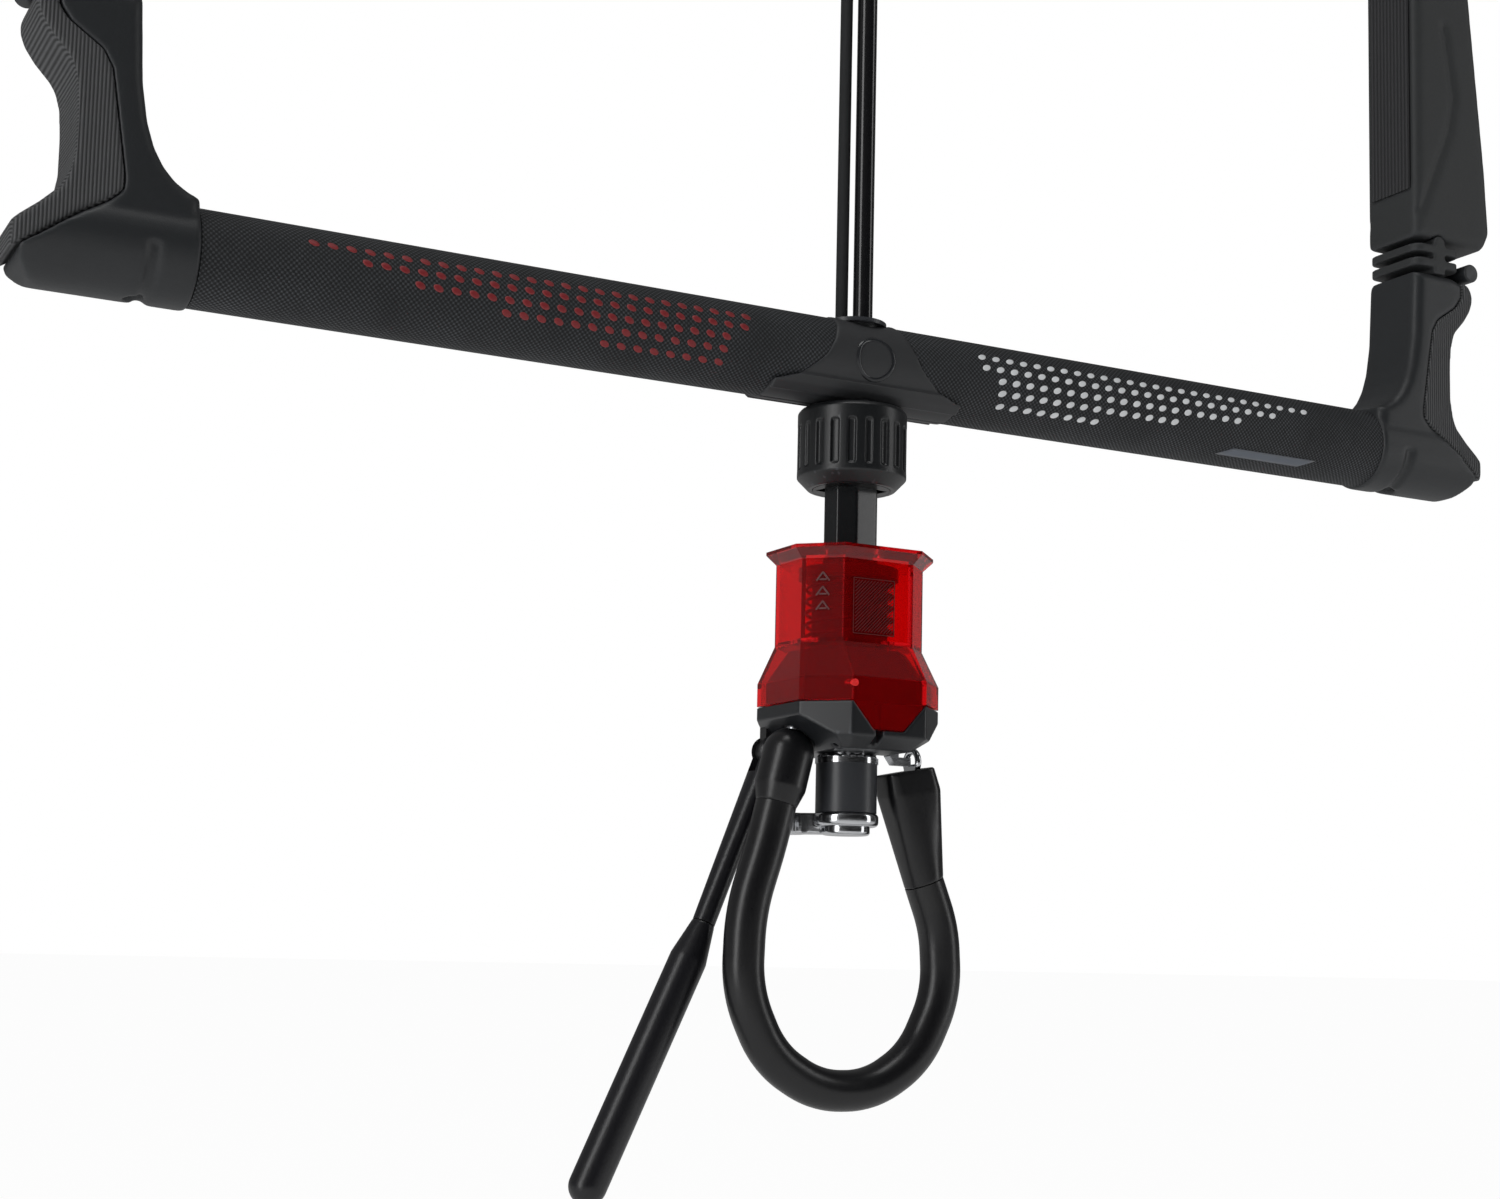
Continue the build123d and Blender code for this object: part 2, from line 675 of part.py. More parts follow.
stem_vector = Vector(STICK_JOINT[0] - STICK_PIVOT[0], 0, STICK_JOINT[1] - STICK_PIVOT[1])
STEM = Plane(
    origin=spot(STICK_PIVOT[0], STICK_Y, STICK_PIVOT[1]),
    x_dir=(0, 1, 0),
    z_dir=tuple(stem_vector.normalized()),
)
with BuildPart() as stick_stem:
    with BuildSketch(STEM):
        Ellipse(5.0, 3.6)
    with BuildSketch(STEM.offset(stem_vector.length - 4)):
        Circle(3.5)
    loft()
    with Locations(spot(STICK_PIVOT[0], STICK_Y, STICK_PIVOT[1])):
        Sphere(5.2)
        Box(14, 4 + 2 * RUN, 12.4, mode=Mode.SUBTRACT)
    with Locations(Location(spot(STICK_PIVOT[0], STICK_Y, STICK_PIVOT[1]), ACROSS_Y)):
        Cylinder(1.5 + FIT, 20, mode=Mode.SUBTRACT)
save("stick_stem", stick_stem.part)

grip_vector = Vector(STICK_TIP[0] - STICK_JOINT[0], 0, STICK_TIP[1] - STICK_JOINT[1])
STICK_R = 5.7
GRIP_PLANE = Plane(
    origin=spot(STICK_JOINT[0], STICK_Y, STICK_JOINT[1]),
    x_dir=(0, 1, 0),
    z_dir=tuple(grip_vector.normalized()),
)
with BuildPart() as stick_grip:
    with BuildSketch(STEM.offset(stem_vector.length - 4 + FIT)):
        Circle(3.5)
    with BuildSketch(GRIP_PLANE.offset(8)):
        Circle(STICK_R)
    loft()
    with BuildSketch(GRIP_PLANE.offset(8)):
        Circle(STICK_R)
    extrude(amount=grip_vector.length - 8 - STICK_R)
    with Locations(GRIP_PLANE.offset(grip_vector.length - STICK_R).location):
        Sphere(STICK_R)
save("stick_grip", stick_grip.part)

# ---------------------------------------------------------------- bar core and centre insert
BUSH_R = LINE_PORT_R + 1.2
HUB_HALF = 11.6  # half width of the centre block between the two core tubes
with BuildPart() as centre_block:
    with Locations(Location(spot(0, 0, 0), ACROSS_X)):
        Cylinder(CORE_R, 2 * HUB_HALF)
        Cylinder(CORE_R - CORE_WALL - FIT, 2 * HUB_HALF + 40)
    with Locations(spot(0, 0, 0)):
        Cylinder(BUSH_R, 40, mode=Mode.SUBTRACT)
save("centre_block", centre_block.part)

with BuildPart() as line_bush:
    with BuildSketch(level(-13.0)):
        Circle(BUSH_R - FIT)
    extrude(amount=26)
    with BuildSketch(level(12.0)):
        Circle(BUSH_R + 2)
    extrude(amount=1.3)
    with BuildSketch(level(-13.0)):
        Circle(LINE_PORT_R)
    extrude(amount=30, mode=Mode.SUBTRACT)
save("line_bush", line_bush.part)

INSERT_EDGE = [
    (11.0, 15.0),
    (11.8, 10.0),
    (14.4, 3.5),
    (17.2, -1.5),
    (20.8, -4.6),
    (25.6, -8.2),
    (33.5, -10.4),
]
insert_outline = INSERT_EDGE + [(33.5, -16.0)]
full_outline = [(-x, z) for x, z in reversed(insert_outline)] + insert_outline


with BuildPart() as insert_prism:
    with BuildSketch(FRONT):
        with BuildLine():
            Polyline(full_outline, close=True)
        make_face()
    extrude(amount=20, both=True)


INSERT_R = GRIP_R + 0.4
with BuildPart() as insert_lips:
    with BuildSketch(section(-40)):
        with BuildLine():
            Polyline((-12.4, -8.4), (-11.0, -7.4), (-6.6, -11.4), (-7.6, -12.9), (-10.5, -10.8), close=True)
        make_face()
        mirror(about=Plane.YZ)
    extrude(amount=80)
    add(insert_prism.part, mode=Mode.INTERSECT)

for name, facing in (("front_cover", -1), ("rear_cover", 1)):
    with BuildPart() as cover:
        add(insert_prism.part)
        with Locations(Location(spot(0, 0, 0), ACROSS_X)):
            Cylinder(INSERT_R, 100, mode=Mode.INTERSECT)
        add(insert_lips.part)
        with Locations(Location(spot(0, 0, 0), ACROSS_X)):
            Cylinder(CORE_R + FIT, 120, mode=Mode.SUBTRACT)
        with Locations(spot(0, 0, 0)):
            Cylinder(BUSH_R, 60, mode=Mode.SUBTRACT)
        with Locations(spot(0, 0, 15)):
            Cylinder(BUSH_R + 2.05, 6.1, mode=Mode.SUBTRACT)
        split(bisect_by=Plane.XZ.offset(-facing * FIT), keep=Keep.TOP if facing < 0 else Keep.BOTTOM)
    save(name, cover.part)

for name, side in SIDES:
    with BuildPart() as core_tube:
        with BuildSketch(section(side * (HUB_HALF + FIT))):
            Circle(CORE_R)
            Circle(CORE_R - CORE_WALL, mode=Mode.SUBTRACT)
        extrude(amount=side * (226 - HUB_HALF))
    save(f"{name}_core_tube", core_tube.part)

    with BuildPart() as grip:
        with BuildSketch(section(side * 9)):
            Circle(GRIP_R)
            Circle(CORE_R + FIT, mode=Mode.SUBTRACT)
        extrude(amount=side * (GRIP_END - 9))
        with BuildSketch(FRONT):
            with BuildLine():
                Polyline([(x + (FIT if x > 0 else -FIT), z) for x, z in full_outline], close=True)
            make_face()
        extrude(amount=20, both=True, mode=Mode.SUBTRACT)
    save(f"{name}_grip", grip.part)

# ---------------------------------------------------------------- end caps, pads, necks and floats
COLLAR_R = GRIP_R + 0.9
FOOT_OUTLINE = [
    (GRIP_END, -15.5),
    (243.5, -15.5),
    (250.0, -13.6),
    (253.4, -9.6),
    (BAR_HALF, -5.0),
    (253.2, -1.0),
    (249.5, 4.5),
    (241.0, 15.5),
    (GRIP_END, 15.5),
]
ARM_OUTLINE = [
    (207.7, 2.0),
    (207.7, 13.4),
    (211.0, 14.6),
    (214.6, 16.9),
    (217.8, 20.4),
    (220.4, 25.0),
    (222.5, 31.5),
    (224.2, 42.0),
    (225.4, CAP_TOP),
    (243.4, CAP_TOP),
    (247.6, 64.0),
    (250.6, 61.0),
    (251.8, 57.4),
    (250.8, 53.4),
    (247.6, 49.2),
    (243.6, 45.0),
    (241.2, 40.6),
    (240.4, 34.0),
    (240.4, 20.0),
    (241.4, 14.4),
    (244.2, 8.2),
    (248.0, 2.0),
]
PAD_GROOVE = [
    (256.0, -8.2),
    (248.6, -3.6),
    (239.0, 3.4),
    (231.4, 8.4),
    (228.2, 11.6),
    (228.2, 16.0),
    (230.4, 30.0),
    (232.6, 43.6),
    (235.2, 48.2),
    (243.6, 53.8),
    (246.6, 58.0),
    (247.4, 64.0),
]
PAD_OUTER = [
    (250.4, 63.6),
    (252.0, 61.6),
    (252.8, 59.2),
    (252.6, 56.6),
    (251.4, 53.4),
    (248.6, 49.4),
    (244.6, 45.2),
    (242.4, 41.8),
    (241.4, 38.0),
    (240.9, 30.0),
    (240.9, 20.0),
    (241.8, 15.0),
    (244.4, 9.8),
    (249.0, 5.2),
    (253.8, 1.2),
    (256.0, -1.0),
]
CHANNEL_WIDTH = 3.0
CHANNEL_DEPTH = 1.2
FLOAT_CHANNEL = [(239.4, 160.0), (244.2, 132.5), (241.8, 119.7), (227.1, 86.0)]
FLOAT_OUTLINE = [
    (225.2, FLOAT_BOTTOM),
    (225.2, 200.0),
    (229.0, 212.0),
    (236.0, FLOAT_TOP),
    (244.0, 216.0),
    (250.0, 206.0),
    (254.4, 163.0),
    (260.3, 108.0),
    (262.0, 84.0),
    (259.0, FLOAT_BOTTOM),
]

for name, side in SIDES:
    with BuildPart() as arm:
        with BuildSketch(FRONT):
            with BuildLine():
                Polyline(mirrored(ARM_OUTLINE, side), close=True)
            make_face()
        extrude(amount=ARM_HALF_DEPTH, both=True)
        fillet(arm.faces().filter_by(Axis.Y).edges(), 3.5)

    with BuildPart() as cap:
        with BuildSketch(FRONT):
            with BuildLine():
                Polyline(mirrored(FOOT_OUTLINE, side), close=True)
            make_face()
        extrude(amount=20, both=True)
        with Locations(Location(spot(side * 230, 0, 0), ACROSS_X)):
            Cylinder(COLLAR_R, 80, mode=Mode.INTERSECT)
        add(arm.part)
        # room for the winding pad
        with BuildSketch(FRONT):
            with BuildLine():
                Polyline(mirrored(PAD_GROOVE + [(247.4, 70), (266, 70), (266, -8.2)], side), close=True)
            make_face()
        extrude(amount=20, both=True, mode=Mode.SUBTRACT)
        # socket of the core tube
        with Locations(Location(spot(side * 206, 0, 0), ACROSS_X)):
            Cylinder(CORE_R + FIT, 40.2, mode=Mode.SUBTRACT)
        # groove round the collar's lower half and the hole below it
        with BuildSketch(section(side * 218)):
            Circle(COLLAR_R + 3)
            Circle(COLLAR_R - 1.1, mode=Mode.SUBTRACT)
            with Locations((0, 10)):
                Rectangle(60, 22, mode=Mode.SUBTRACT)
        extrude(amount=side * 3.6, mode=Mode.SUBTRACT)
        with Locations(spot(side * 222.0, 0, -COLLAR_R)):
            Cylinder(2.6, 6, mode=Mode.SUBTRACT)
    save(f"{name}_cap", cap.part)

    with BuildPart() as pad:
        with BuildSketch(FRONT):
            with BuildLine():
                Polyline(mirrored([(x + FIT, z) for x, z in PAD_GROOVE] + PAD_OUTER, side), close=True)
            make_face()
        extrude(amount=ARM_HALF_DEPTH, both=True)
        chamfer(pad.faces().filter_by(Axis.Y).edges().filter_by(lambda e: abs(e.center().X) > 242), 1.2)
    save(f"{name}_pad", pad.part)

    with BuildPart() as end_plug:
        with Locations(Location(spot(side * 217.5, 0, 0), ACROSS_X)):
            Cylinder(CORE_R - CORE_WALL - FIT, 16.6)
    save(f"{name}_end_plug", end_plug.part)

    # ribbed neck: a spine with ribs on both sides, round at the top as the float's pivot
    with BuildPart() as neck:
        spine_top = FLOAT_BOTTOM - GROOVE / 2
        with BuildSketch(level(CAP_TOP)):
            with Locations((side * NECK_X, 0)):
                Rectangle(5.2, 2 * ARM_HALF_DEPTH - 1.0)
        extrude(amount=spine_top - CAP_TOP)
        with Locations(Location(spot(side * NECK_X, 0, spine_top), ACROSS_Y)):
            Cylinder(2.6, 2 * ARM_HALF_DEPTH - 1.0)
        for step in (1, 2):
            rib_foot = CAP_TOP + step * GROOVE + (step - 1) * RIB
            with BuildSketch(level(rib_foot)):
                with Locations((side * 236.2, 0)):
                    RectangleRounded(21.6, 2 * ARM_HALF_DEPTH - 0.8, 4.0)
            extrude(amount=RIB)
        # the peg lies in a notch at the ribs' outer ends
        with Locations(Location(spot(side * 251.6, 0, 68.0), ACROSS_Y)):
            Cylinder(4.6, 40, mode=Mode.SUBTRACT)
    save(f"{name}_neck", neck.part)

    with BuildPart() as peg:
        with Locations(Location(spot(side * 251.6, 0, 68.0), ACROSS_Y)):
            Cylinder(3.3, 2 * ARM_HALF_DEPTH)
        fillet(peg.edges(), 0.6)
        with Locations(Location(spot(side * 246.2, 0, 71.7), ACROSS_X)):
            Cylinder(0.9, 9)
    save(f"{name}_peg", peg.part)

    with BuildPart() as float_body:
        with BuildSketch(FRONT):
            with BuildLine():
                Polyline(mirrored(FLOAT_OUTLINE, side), close=True)
            make_face()
        extrude(amount=ARM_HALF_DEPTH, both=True)
        fillet(float_body.faces().filter_by(Axis.Y).edges(), 3.0)
        # recessed line down the front and the back
        for face in (-1, 1):
            with BuildSketch(FRONT.offset(face * (ARM_HALF_DEPTH - CHANNEL_DEPTH))):
                with BuildLine():
                    Polyline(mirrored(FLOAT_CHANNEL, side))
                trace(line_width=CHANNEL_WIDTH)
            extrude(amount=face * 2 * CHANNEL_DEPTH, mode=Mode.SUBTRACT)
        # seat round the neck's pivot, and the leader line's bore
        with Locations(Location(spot(side * NECK_X, 0, spine_top), ACROSS_Y)):
            Cylinder(2.6 + RUN, 40, mode=Mode.SUBTRACT)
        with Locations(spot(side * 238.0, 0, FLOAT_TOP - 28)):
            Cylinder(3.0, 64, mode=Mode.SUBTRACT)
        # pocket of the ribbed inner panel
        with BuildSketch(FRONT):
            with BuildLine():
                Polyline(
                    mirrored([(220, 96), (226.6, 96), (226.6, 196), (220, 196)], side),
                    close=True,
                )
            make_face()
        extrude(amount=9.6, both=True, mode=Mode.SUBTRACT)
    save(f"{name}_float", float_body.part)

    with BuildPart() as panel:
        with Locations(spot(side * 225.8, 0, 146)):
            Box(1.5, 19, 99.8)
    save(f"{name}_panel", panel.part)
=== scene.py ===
# %% [markdown]
# # A kite control bar
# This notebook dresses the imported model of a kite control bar. The model gives every piece its
# place and size, in metres. Each cell adds one piece or one finish, and prints what it made.

from math import cos, pi, radians, sin

import bpy
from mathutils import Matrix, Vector


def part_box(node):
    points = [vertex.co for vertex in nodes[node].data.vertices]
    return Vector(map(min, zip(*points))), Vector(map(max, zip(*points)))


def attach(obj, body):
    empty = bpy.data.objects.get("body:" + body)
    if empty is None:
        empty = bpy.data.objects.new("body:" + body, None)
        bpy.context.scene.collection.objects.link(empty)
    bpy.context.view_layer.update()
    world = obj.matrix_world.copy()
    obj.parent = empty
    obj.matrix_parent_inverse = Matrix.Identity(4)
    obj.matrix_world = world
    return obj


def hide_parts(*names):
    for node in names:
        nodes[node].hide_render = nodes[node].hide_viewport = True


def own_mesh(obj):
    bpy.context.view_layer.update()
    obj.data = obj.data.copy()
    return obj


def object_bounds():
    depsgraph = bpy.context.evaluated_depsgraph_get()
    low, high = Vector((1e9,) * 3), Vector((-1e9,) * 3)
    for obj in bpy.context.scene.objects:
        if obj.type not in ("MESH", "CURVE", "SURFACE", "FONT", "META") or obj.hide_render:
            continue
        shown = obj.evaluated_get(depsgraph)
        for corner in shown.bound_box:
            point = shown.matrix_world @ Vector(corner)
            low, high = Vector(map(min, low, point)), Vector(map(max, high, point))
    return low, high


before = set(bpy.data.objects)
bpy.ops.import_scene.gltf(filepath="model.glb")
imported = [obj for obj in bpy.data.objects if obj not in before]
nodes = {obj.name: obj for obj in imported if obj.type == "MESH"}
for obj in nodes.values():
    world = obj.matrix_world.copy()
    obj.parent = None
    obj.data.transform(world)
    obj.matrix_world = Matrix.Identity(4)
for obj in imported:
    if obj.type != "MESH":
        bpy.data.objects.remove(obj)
cad_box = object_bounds()

# %% [markdown]
# Everything on the bar is easiest to place from the bar's own axis. The core tube lies on that
# axis, so the middle of its box gives the height, and `spot` turns millimetres counted from the
# middle of the bar into the model's metres.

# %% The bar's axis, and points counted from it
MM = 0.001
tube_low, tube_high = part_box("right_core_tube")
BAR_Z = (tube_low[2] + tube_high[2]) / 2
SIDES = (("left", -1), ("right", 1))


def spot(x, y, z):
    """Point in metres from millimetres counted from the middle of the bar."""
    return Vector((x * MM, y * MM, BAR_Z + z * MM))


print("bar axis at", round(BAR_Z, 4))

# %% [markdown]
# The camera stands in front of the left half of the bar, a little below it, and looks slightly
# up. A camera that looks up lets upright lines lean together, so a small lens shift, like the one
# of a camera with bellows, lifts the picture part of the way instead. The shift stays small,
# because it moves the bar off the middle in every other view.

# %% Camera
VIEW_UP = 96.105
VIEW_ROLL = -1.234
VIEW_TURN = -28.061
camera_data = bpy.data.cameras.new("camera")
camera_data.lens = 53.74
camera_data.sensor_width = 36.0
camera_data.shift_y = 0.075
camera_data.clip_start = 0.01
camera_data.clip_end = 50.0
camera = bpy.data.objects.new("camera", camera_data)
camera.location = spot(-346.61, -589.94, -182.2)
camera.rotation_euler = (radians(VIEW_UP), radians(VIEW_ROLL), radians(VIEW_TURN))
bpy.context.scene.collection.objects.link(camera)
bpy.context.scene.camera = camera
print("camera at", [round(v, 3) for v in camera.location])

# %% [markdown]
# The two centre lines carry the whole pull of the kite. They run straight and taut from the line
# head above, through the bar, into the knob of the upper swivel. Each is a free line, made as a
# smooth spline with a round bevel, and its length is printed.

# %% Centre lines
LINE_TOP = -20 * MM
LINE_FOOT = BAR_Z - 34 * MM
TRIM_X, TRIM_Y, TRIM_R = 2.3, -1.25, 3.1
SAFETY_X, SAFETY_Y, SAFETY_R = -3.5, 1.9, 1.95


def taut_line(node, x, y, radius):
    """Straight line from the knob up to the line head, as a round spline."""
    curve = bpy.data.curves.new(node + "_cover", "CURVE")
    curve.dimensions = "3D"
    curve.bevel_depth = 1.0
    curve.bevel_resolution = 8
    curve.use_fill_caps = True
    spline = curve.splines.new("NURBS")
    heights = (LINE_FOOT, (LINE_TOP + LINE_FOOT) / 2, LINE_TOP)
    spline.points.add(len(heights) - 1)
    for point, height in zip(spline.points, heights):
        point.co = (x, y, height, 1)
        point.radius = radius
    spline.order_u = 3
    spline.use_endpoint_u = True
    line = bpy.data.objects.new(node + "_cover", curve)
    bpy.context.scene.collection.objects.link(line)
    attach(line, "lines")
    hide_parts(node)
    print(node, "is", round(LINE_TOP - LINE_FOOT, 3), "m long")
    return line


trim_cover = taut_line(
    "trim_line", TRIM_X * MM, TRIM_Y * MM, TRIM_R * MM
)
safety_cover = taut_line(
    "safety_line", SAFETY_X * MM, SAFETY_Y * MM, SAFETY_R * MM
)

# %% [markdown]
# A product like this is shown on plain white. The floor is a wide pale sheet below the hanging
# bar. The world around it is bright behind and above, and darker on the camera's side, so black
# plastic shows soft edges of light instead of an even grey. Three large soft boxes add the long
# highlights on tubes and grips.

# %% Floor
FLOOR_DROP = 0.16
floor_mesh = bpy.data.meshes.new("floor")
floor_height = cad_box[0][2] - FLOOR_DROP
reach = 30.0
floor_corners = [(-reach, -reach), (reach, -reach), (reach, reach), (-reach, reach)]
floor_mesh.from_pydata([(x, y, floor_height) for x, y in floor_corners], [], [(0, 1, 2, 3)])
floor = bpy.data.objects.new("floor", floor_mesh)
bpy.context.scene.collection.objects.link(floor)

paper = bpy.data.materials.new("studio_paper")
paper.use_nodes = True
tree = paper.node_tree
tree.nodes.clear()
paper_out = tree.nodes.new("ShaderNodeOutputMaterial")
paper_out.label = "floor surface"
paper_out.location = (450, 0)
paper_skin = tree.nodes.new("ShaderNodeBsdfPrincipled")
paper_skin.label = "pale paper, a little of its own light"
paper_skin.location = (0, 0)
paper_glow = tree.nodes.new("ShaderNodeEmission")
paper_glow.label = "white sweep of the studio"
paper_glow.location = (0, -250)
paper_seen = tree.nodes.new("ShaderNodeLightPath")
paper_seen.label = "looked at, or lighting the bar"
paper_seen.location = (-200, 300)
paper_share = tree.nodes.new("ShaderNodeMath")
paper_share.label = "part of the glow that is seen"
paper_share.location = (0, 300)
paper_mix = tree.nodes.new("ShaderNodeMixShader")
paper_mix.label = "paper and its glow"
paper_mix.location = (200, 100)
paper_share.operation = "MULTIPLY"
paper_skin.inputs["Base Color"].default_value = (0.9, 0.9, 0.9, 1)
paper_skin.inputs["Roughness"].default_value = 0.9
paper_skin.inputs["Emission Color"].default_value = (1, 1, 1, 1)
paper_skin.inputs["Emission Strength"].default_value = 0.25
paper_glow.inputs["Strength"].default_value = 1.0
paper_share.inputs[1].default_value = 0.96
tree.links.new(paper_seen.outputs["Is Camera Ray"], paper_share.inputs[0])
tree.links.new(paper_share.outputs["Value"], paper_mix.inputs["Fac"])
tree.links.new(paper_skin.outputs["BSDF"], paper_mix.inputs[1])
tree.links.new(paper_glow.outputs["Emission"], paper_mix.inputs[2])
tree.links.new(paper_mix.outputs["Shader"], paper_out.inputs["Surface"])
floor_mesh.materials.append(paper)
print("floor at", round(floor_height, 3))

# %% World
world = bpy.data.worlds.new("studio")
bpy.context.scene.world = world
world.use_nodes = True
tree = world.node_tree
tree.nodes.clear()
world_out = tree.nodes.new("ShaderNodeOutputWorld")
world_out.label = "room"
world_out.location = (900, 0)
direction = tree.nodes.new("ShaderNodeTexCoord")
direction.label = "direction in the room"
direction.location = (-700, 0)
backwards = tree.nodes.new("ShaderNodeVectorMath")
backwards.label = "how far to the back"
backwards.location = (-480, 0)
brightness = tree.nodes.new("ShaderNodeMapRange")
brightness.label = "dim in front, bright behind"
brightness.location = (-260, 0)
room_light = tree.nodes.new("ShaderNodeBackground")
room_light.label = "light from the room"
room_light.location = (0, 100)
seen_light = tree.nodes.new("ShaderNodeBackground")
seen_light.label = "white backdrop"
seen_light.location = (0, -100)
seen = tree.nodes.new("ShaderNodeLightPath")
seen.label = "backdrop or light"
seen.location = (0, 450)
straight_through = tree.nodes.new("ShaderNodeMath")
straight_through.label = "seen, or seen through the clear sleeve"
straight_through.location = (250, 450)
choice = tree.nodes.new("ShaderNodeMixShader")
choice.label = "backdrop where it is seen"
choice.location = (500, 0)
backwards.operation = "DOT_PRODUCT"
straight_through.operation = "MAXIMUM"
backwards.inputs[1].default_value = (-0.35, 0.75, 0.45)
brightness.inputs["From Min"].default_value = -0.6
brightness.inputs["From Max"].default_value = 0.6
brightness.inputs["To Min"].default_value = 0.01
brightness.inputs["To Max"].default_value = 0.24
seen_light.inputs["Color"].default_value = (1, 1, 1, 1)
seen_light.inputs["Strength"].default_value = 1.0
tree.links.new(direction.outputs["Generated"], backwards.inputs[0])
tree.links.new(backwards.outputs["Value"], brightness.inputs["Value"])
tree.links.new(brightness.outputs["Result"], room_light.inputs["Strength"])
tree.links.new(seen.outputs["Is Camera Ray"], straight_through.inputs[0])
tree.links.new(seen.outputs["Is Transmission Ray"], straight_through.inputs[1])
tree.links.new(straight_through.outputs["Value"], choice.inputs["Fac"])
tree.links.new(room_light.outputs["Background"], choice.inputs[1])
tree.links.new(seen_light.outputs["Background"], choice.inputs[2])
tree.links.new(choice.outputs["Shader"], world_out.inputs["Surface"])
bpy.context.scene.view_settings.view_transform = "Standard"
print("room set")

# %% Soft boxes


def soft_box(name, place, aim, width, height, power):
    """Large rectangular light at a place, turned to the point it lights."""
    light = bpy.data.lights.new(name, "AREA")
    light.shape = "RECTANGLE"
    light.size = width
    light.size_y = height
    light.energy = power
    lamp = bpy.data.objects.new(name, light)
    lamp.location = place
    lamp.rotation_euler = (Vector(aim) - Vector(place)).to_track_quat("-Z", "Y").to_euler()
    bpy.context.scene.collection.objects.link(lamp)
    print(name, power, "W")


MIDDLE = spot(0, 0, -40)
soft_box("left_box", MIDDLE + Vector((-1.5, -0.5, 0.35)), MIDDLE, 0.5, 1.6, 10)
soft_box("right_box", MIDDLE + Vector((1.5, -0.9, 0.3)), MIDDLE, 0.4, 1.6, 5)
soft_box("top_box", MIDDLE + Vector((-0.2, -0.5, 1.7)), MIDDLE, 1.2, 0.5, 7)
soft_box("low_box", MIDDLE + Vector((-0.5, -1.4, -0.9)), MIDDLE, 1.2, 0.3, 1.6)

# %% [markdown]
# Most of the bar is injection-moulded plastic. It is near black, with a fine spark-eroded grain
# that breaks the shine up, slight clouding where the melt cooled unevenly, and paler edges where
# hands and sand have rubbed it. One function makes every such plastic, from its colour, its
# shine and the size of its grain.

# %% Moulded plastic

def moulded_plastic(name, colour, edge_colour, shine, grain, relief):
    """Plastic with an eroded grain of a given size in millimetres, clouding and rubbed edges."""
    material = bpy.data.materials.new(name)
    material.use_nodes = True
    tree = material.node_tree
    tree.nodes.clear()
    frame_tint = tree.nodes.new("NodeFrame")
    frame_tint.label = "clouding and rubbed edges"
    frame_grain = tree.nodes.new("NodeFrame")
    frame_grain.label = "eroded grain"
    out = tree.nodes.new("ShaderNodeOutputMaterial")
    out.label = "plastic surface"
    out.location = (1200, 0)
    skin = tree.nodes.new("ShaderNodeBsdfPrincipled")
    skin.label = "moulded plastic"
    skin.location = (850, 0)
    place = tree.nodes.new("ShaderNodeTexCoord")
    place.label = "place on the piece"
    place.location = (-900, 0)
    clouds = tree.nodes.new("ShaderNodeTexNoise")
    clouds.label = "clouding of the melt"
    clouds.location = (-600, 300)
    clouds.parent = frame_tint
    tint = tree.nodes.new("ShaderNodeMix")
    tint.label = "a little lighter in the clouds"
    tint.location = (-200, 300)
    tint.parent = frame_tint
    form = tree.nodes.new("ShaderNodeNewGeometry")
    form.label = "outward corners"
    form.location = (-600, 600)
    form.parent = frame_tint
    corners = tree.nodes.new("ShaderNodeMapRange")
    corners.label = "how rubbed an edge is"
    corners.location = (-400, 600)
    corners.parent = frame_tint
    rubbed = tree.nodes.new("ShaderNodeMix")
    rubbed.label = "rubbed edges"
    rubbed.location = (200, 300)
    rubbed.parent = frame_tint
    dull = tree.nodes.new("ShaderNodeMapRange")
    dull.label = "uneven shine"
    dull.location = (200, 0)
    dull.parent = frame_grain
    pits = tree.nodes.new("ShaderNodeTexNoise")
    pits.label = "eroded pits"
    pits.location = (-600, -300)
    pits.parent = frame_grain
    raised = tree.nodes.new("ShaderNodeBump")
    raised.label = "grain relief"
    raised.location = (200, -300)
    raised.parent = frame_grain
    tint.data_type = "RGBA"
    rubbed.data_type = "RGBA"
    clouds.inputs["Scale"].default_value = 45
    clouds.inputs["Detail"].default_value = 3
    tint.inputs["A"].default_value = (*colour, 1)
    tint.inputs["B"].default_value = (*[1.25 * c for c in colour], 1)
    corners.inputs["From Min"].default_value = 0.515
    corners.inputs["From Max"].default_value = 0.60
    corners.inputs["To Max"].default_value = 0.7
    rubbed.inputs["B"].default_value = (*edge_colour, 1)
    dull.inputs["To Min"].default_value = shine - 0.06
    dull.inputs["To Max"].default_value = shine + 0.08
    pits.inputs["Scale"].default_value = 1 / (grain * MM)
    pits.inputs["Detail"].default_value = 2
    raised.inputs["Strength"].default_value = relief
    raised.inputs["Distance"].default_value = 0.1 * MM
    tree.links.new(place.outputs["Object"], clouds.inputs["Vector"])
    tree.links.new(place.outputs["Object"], pits.inputs["Vector"])
    tree.links.new(clouds.outputs["Fac"], tint.inputs["Factor"])
    tree.links.new(form.outputs["Pointiness"], corners.inputs["Value"])
    tree.links.new(tint.outputs["Result"], rubbed.inputs["A"])
    tree.links.new(corners.outputs["Result"], rubbed.inputs["Factor"])
    tree.links.new(rubbed.outputs["Result"], skin.inputs["Base Color"])
    tree.links.new(pits.outputs["Fac"], dull.inputs["Value"])
    tree.links.new(dull.outputs["Result"], skin.inputs["Roughness"])
    tree.links.new(pits.outputs["Fac"], raised.inputs["Height"])
    tree.links.new(raised.outputs["Normal"], skin.inputs["Normal"])
    tree.links.new(skin.outputs["BSDF"], out.inputs["Surface"])
    print(name, "grain", grain, "mm")
    return material


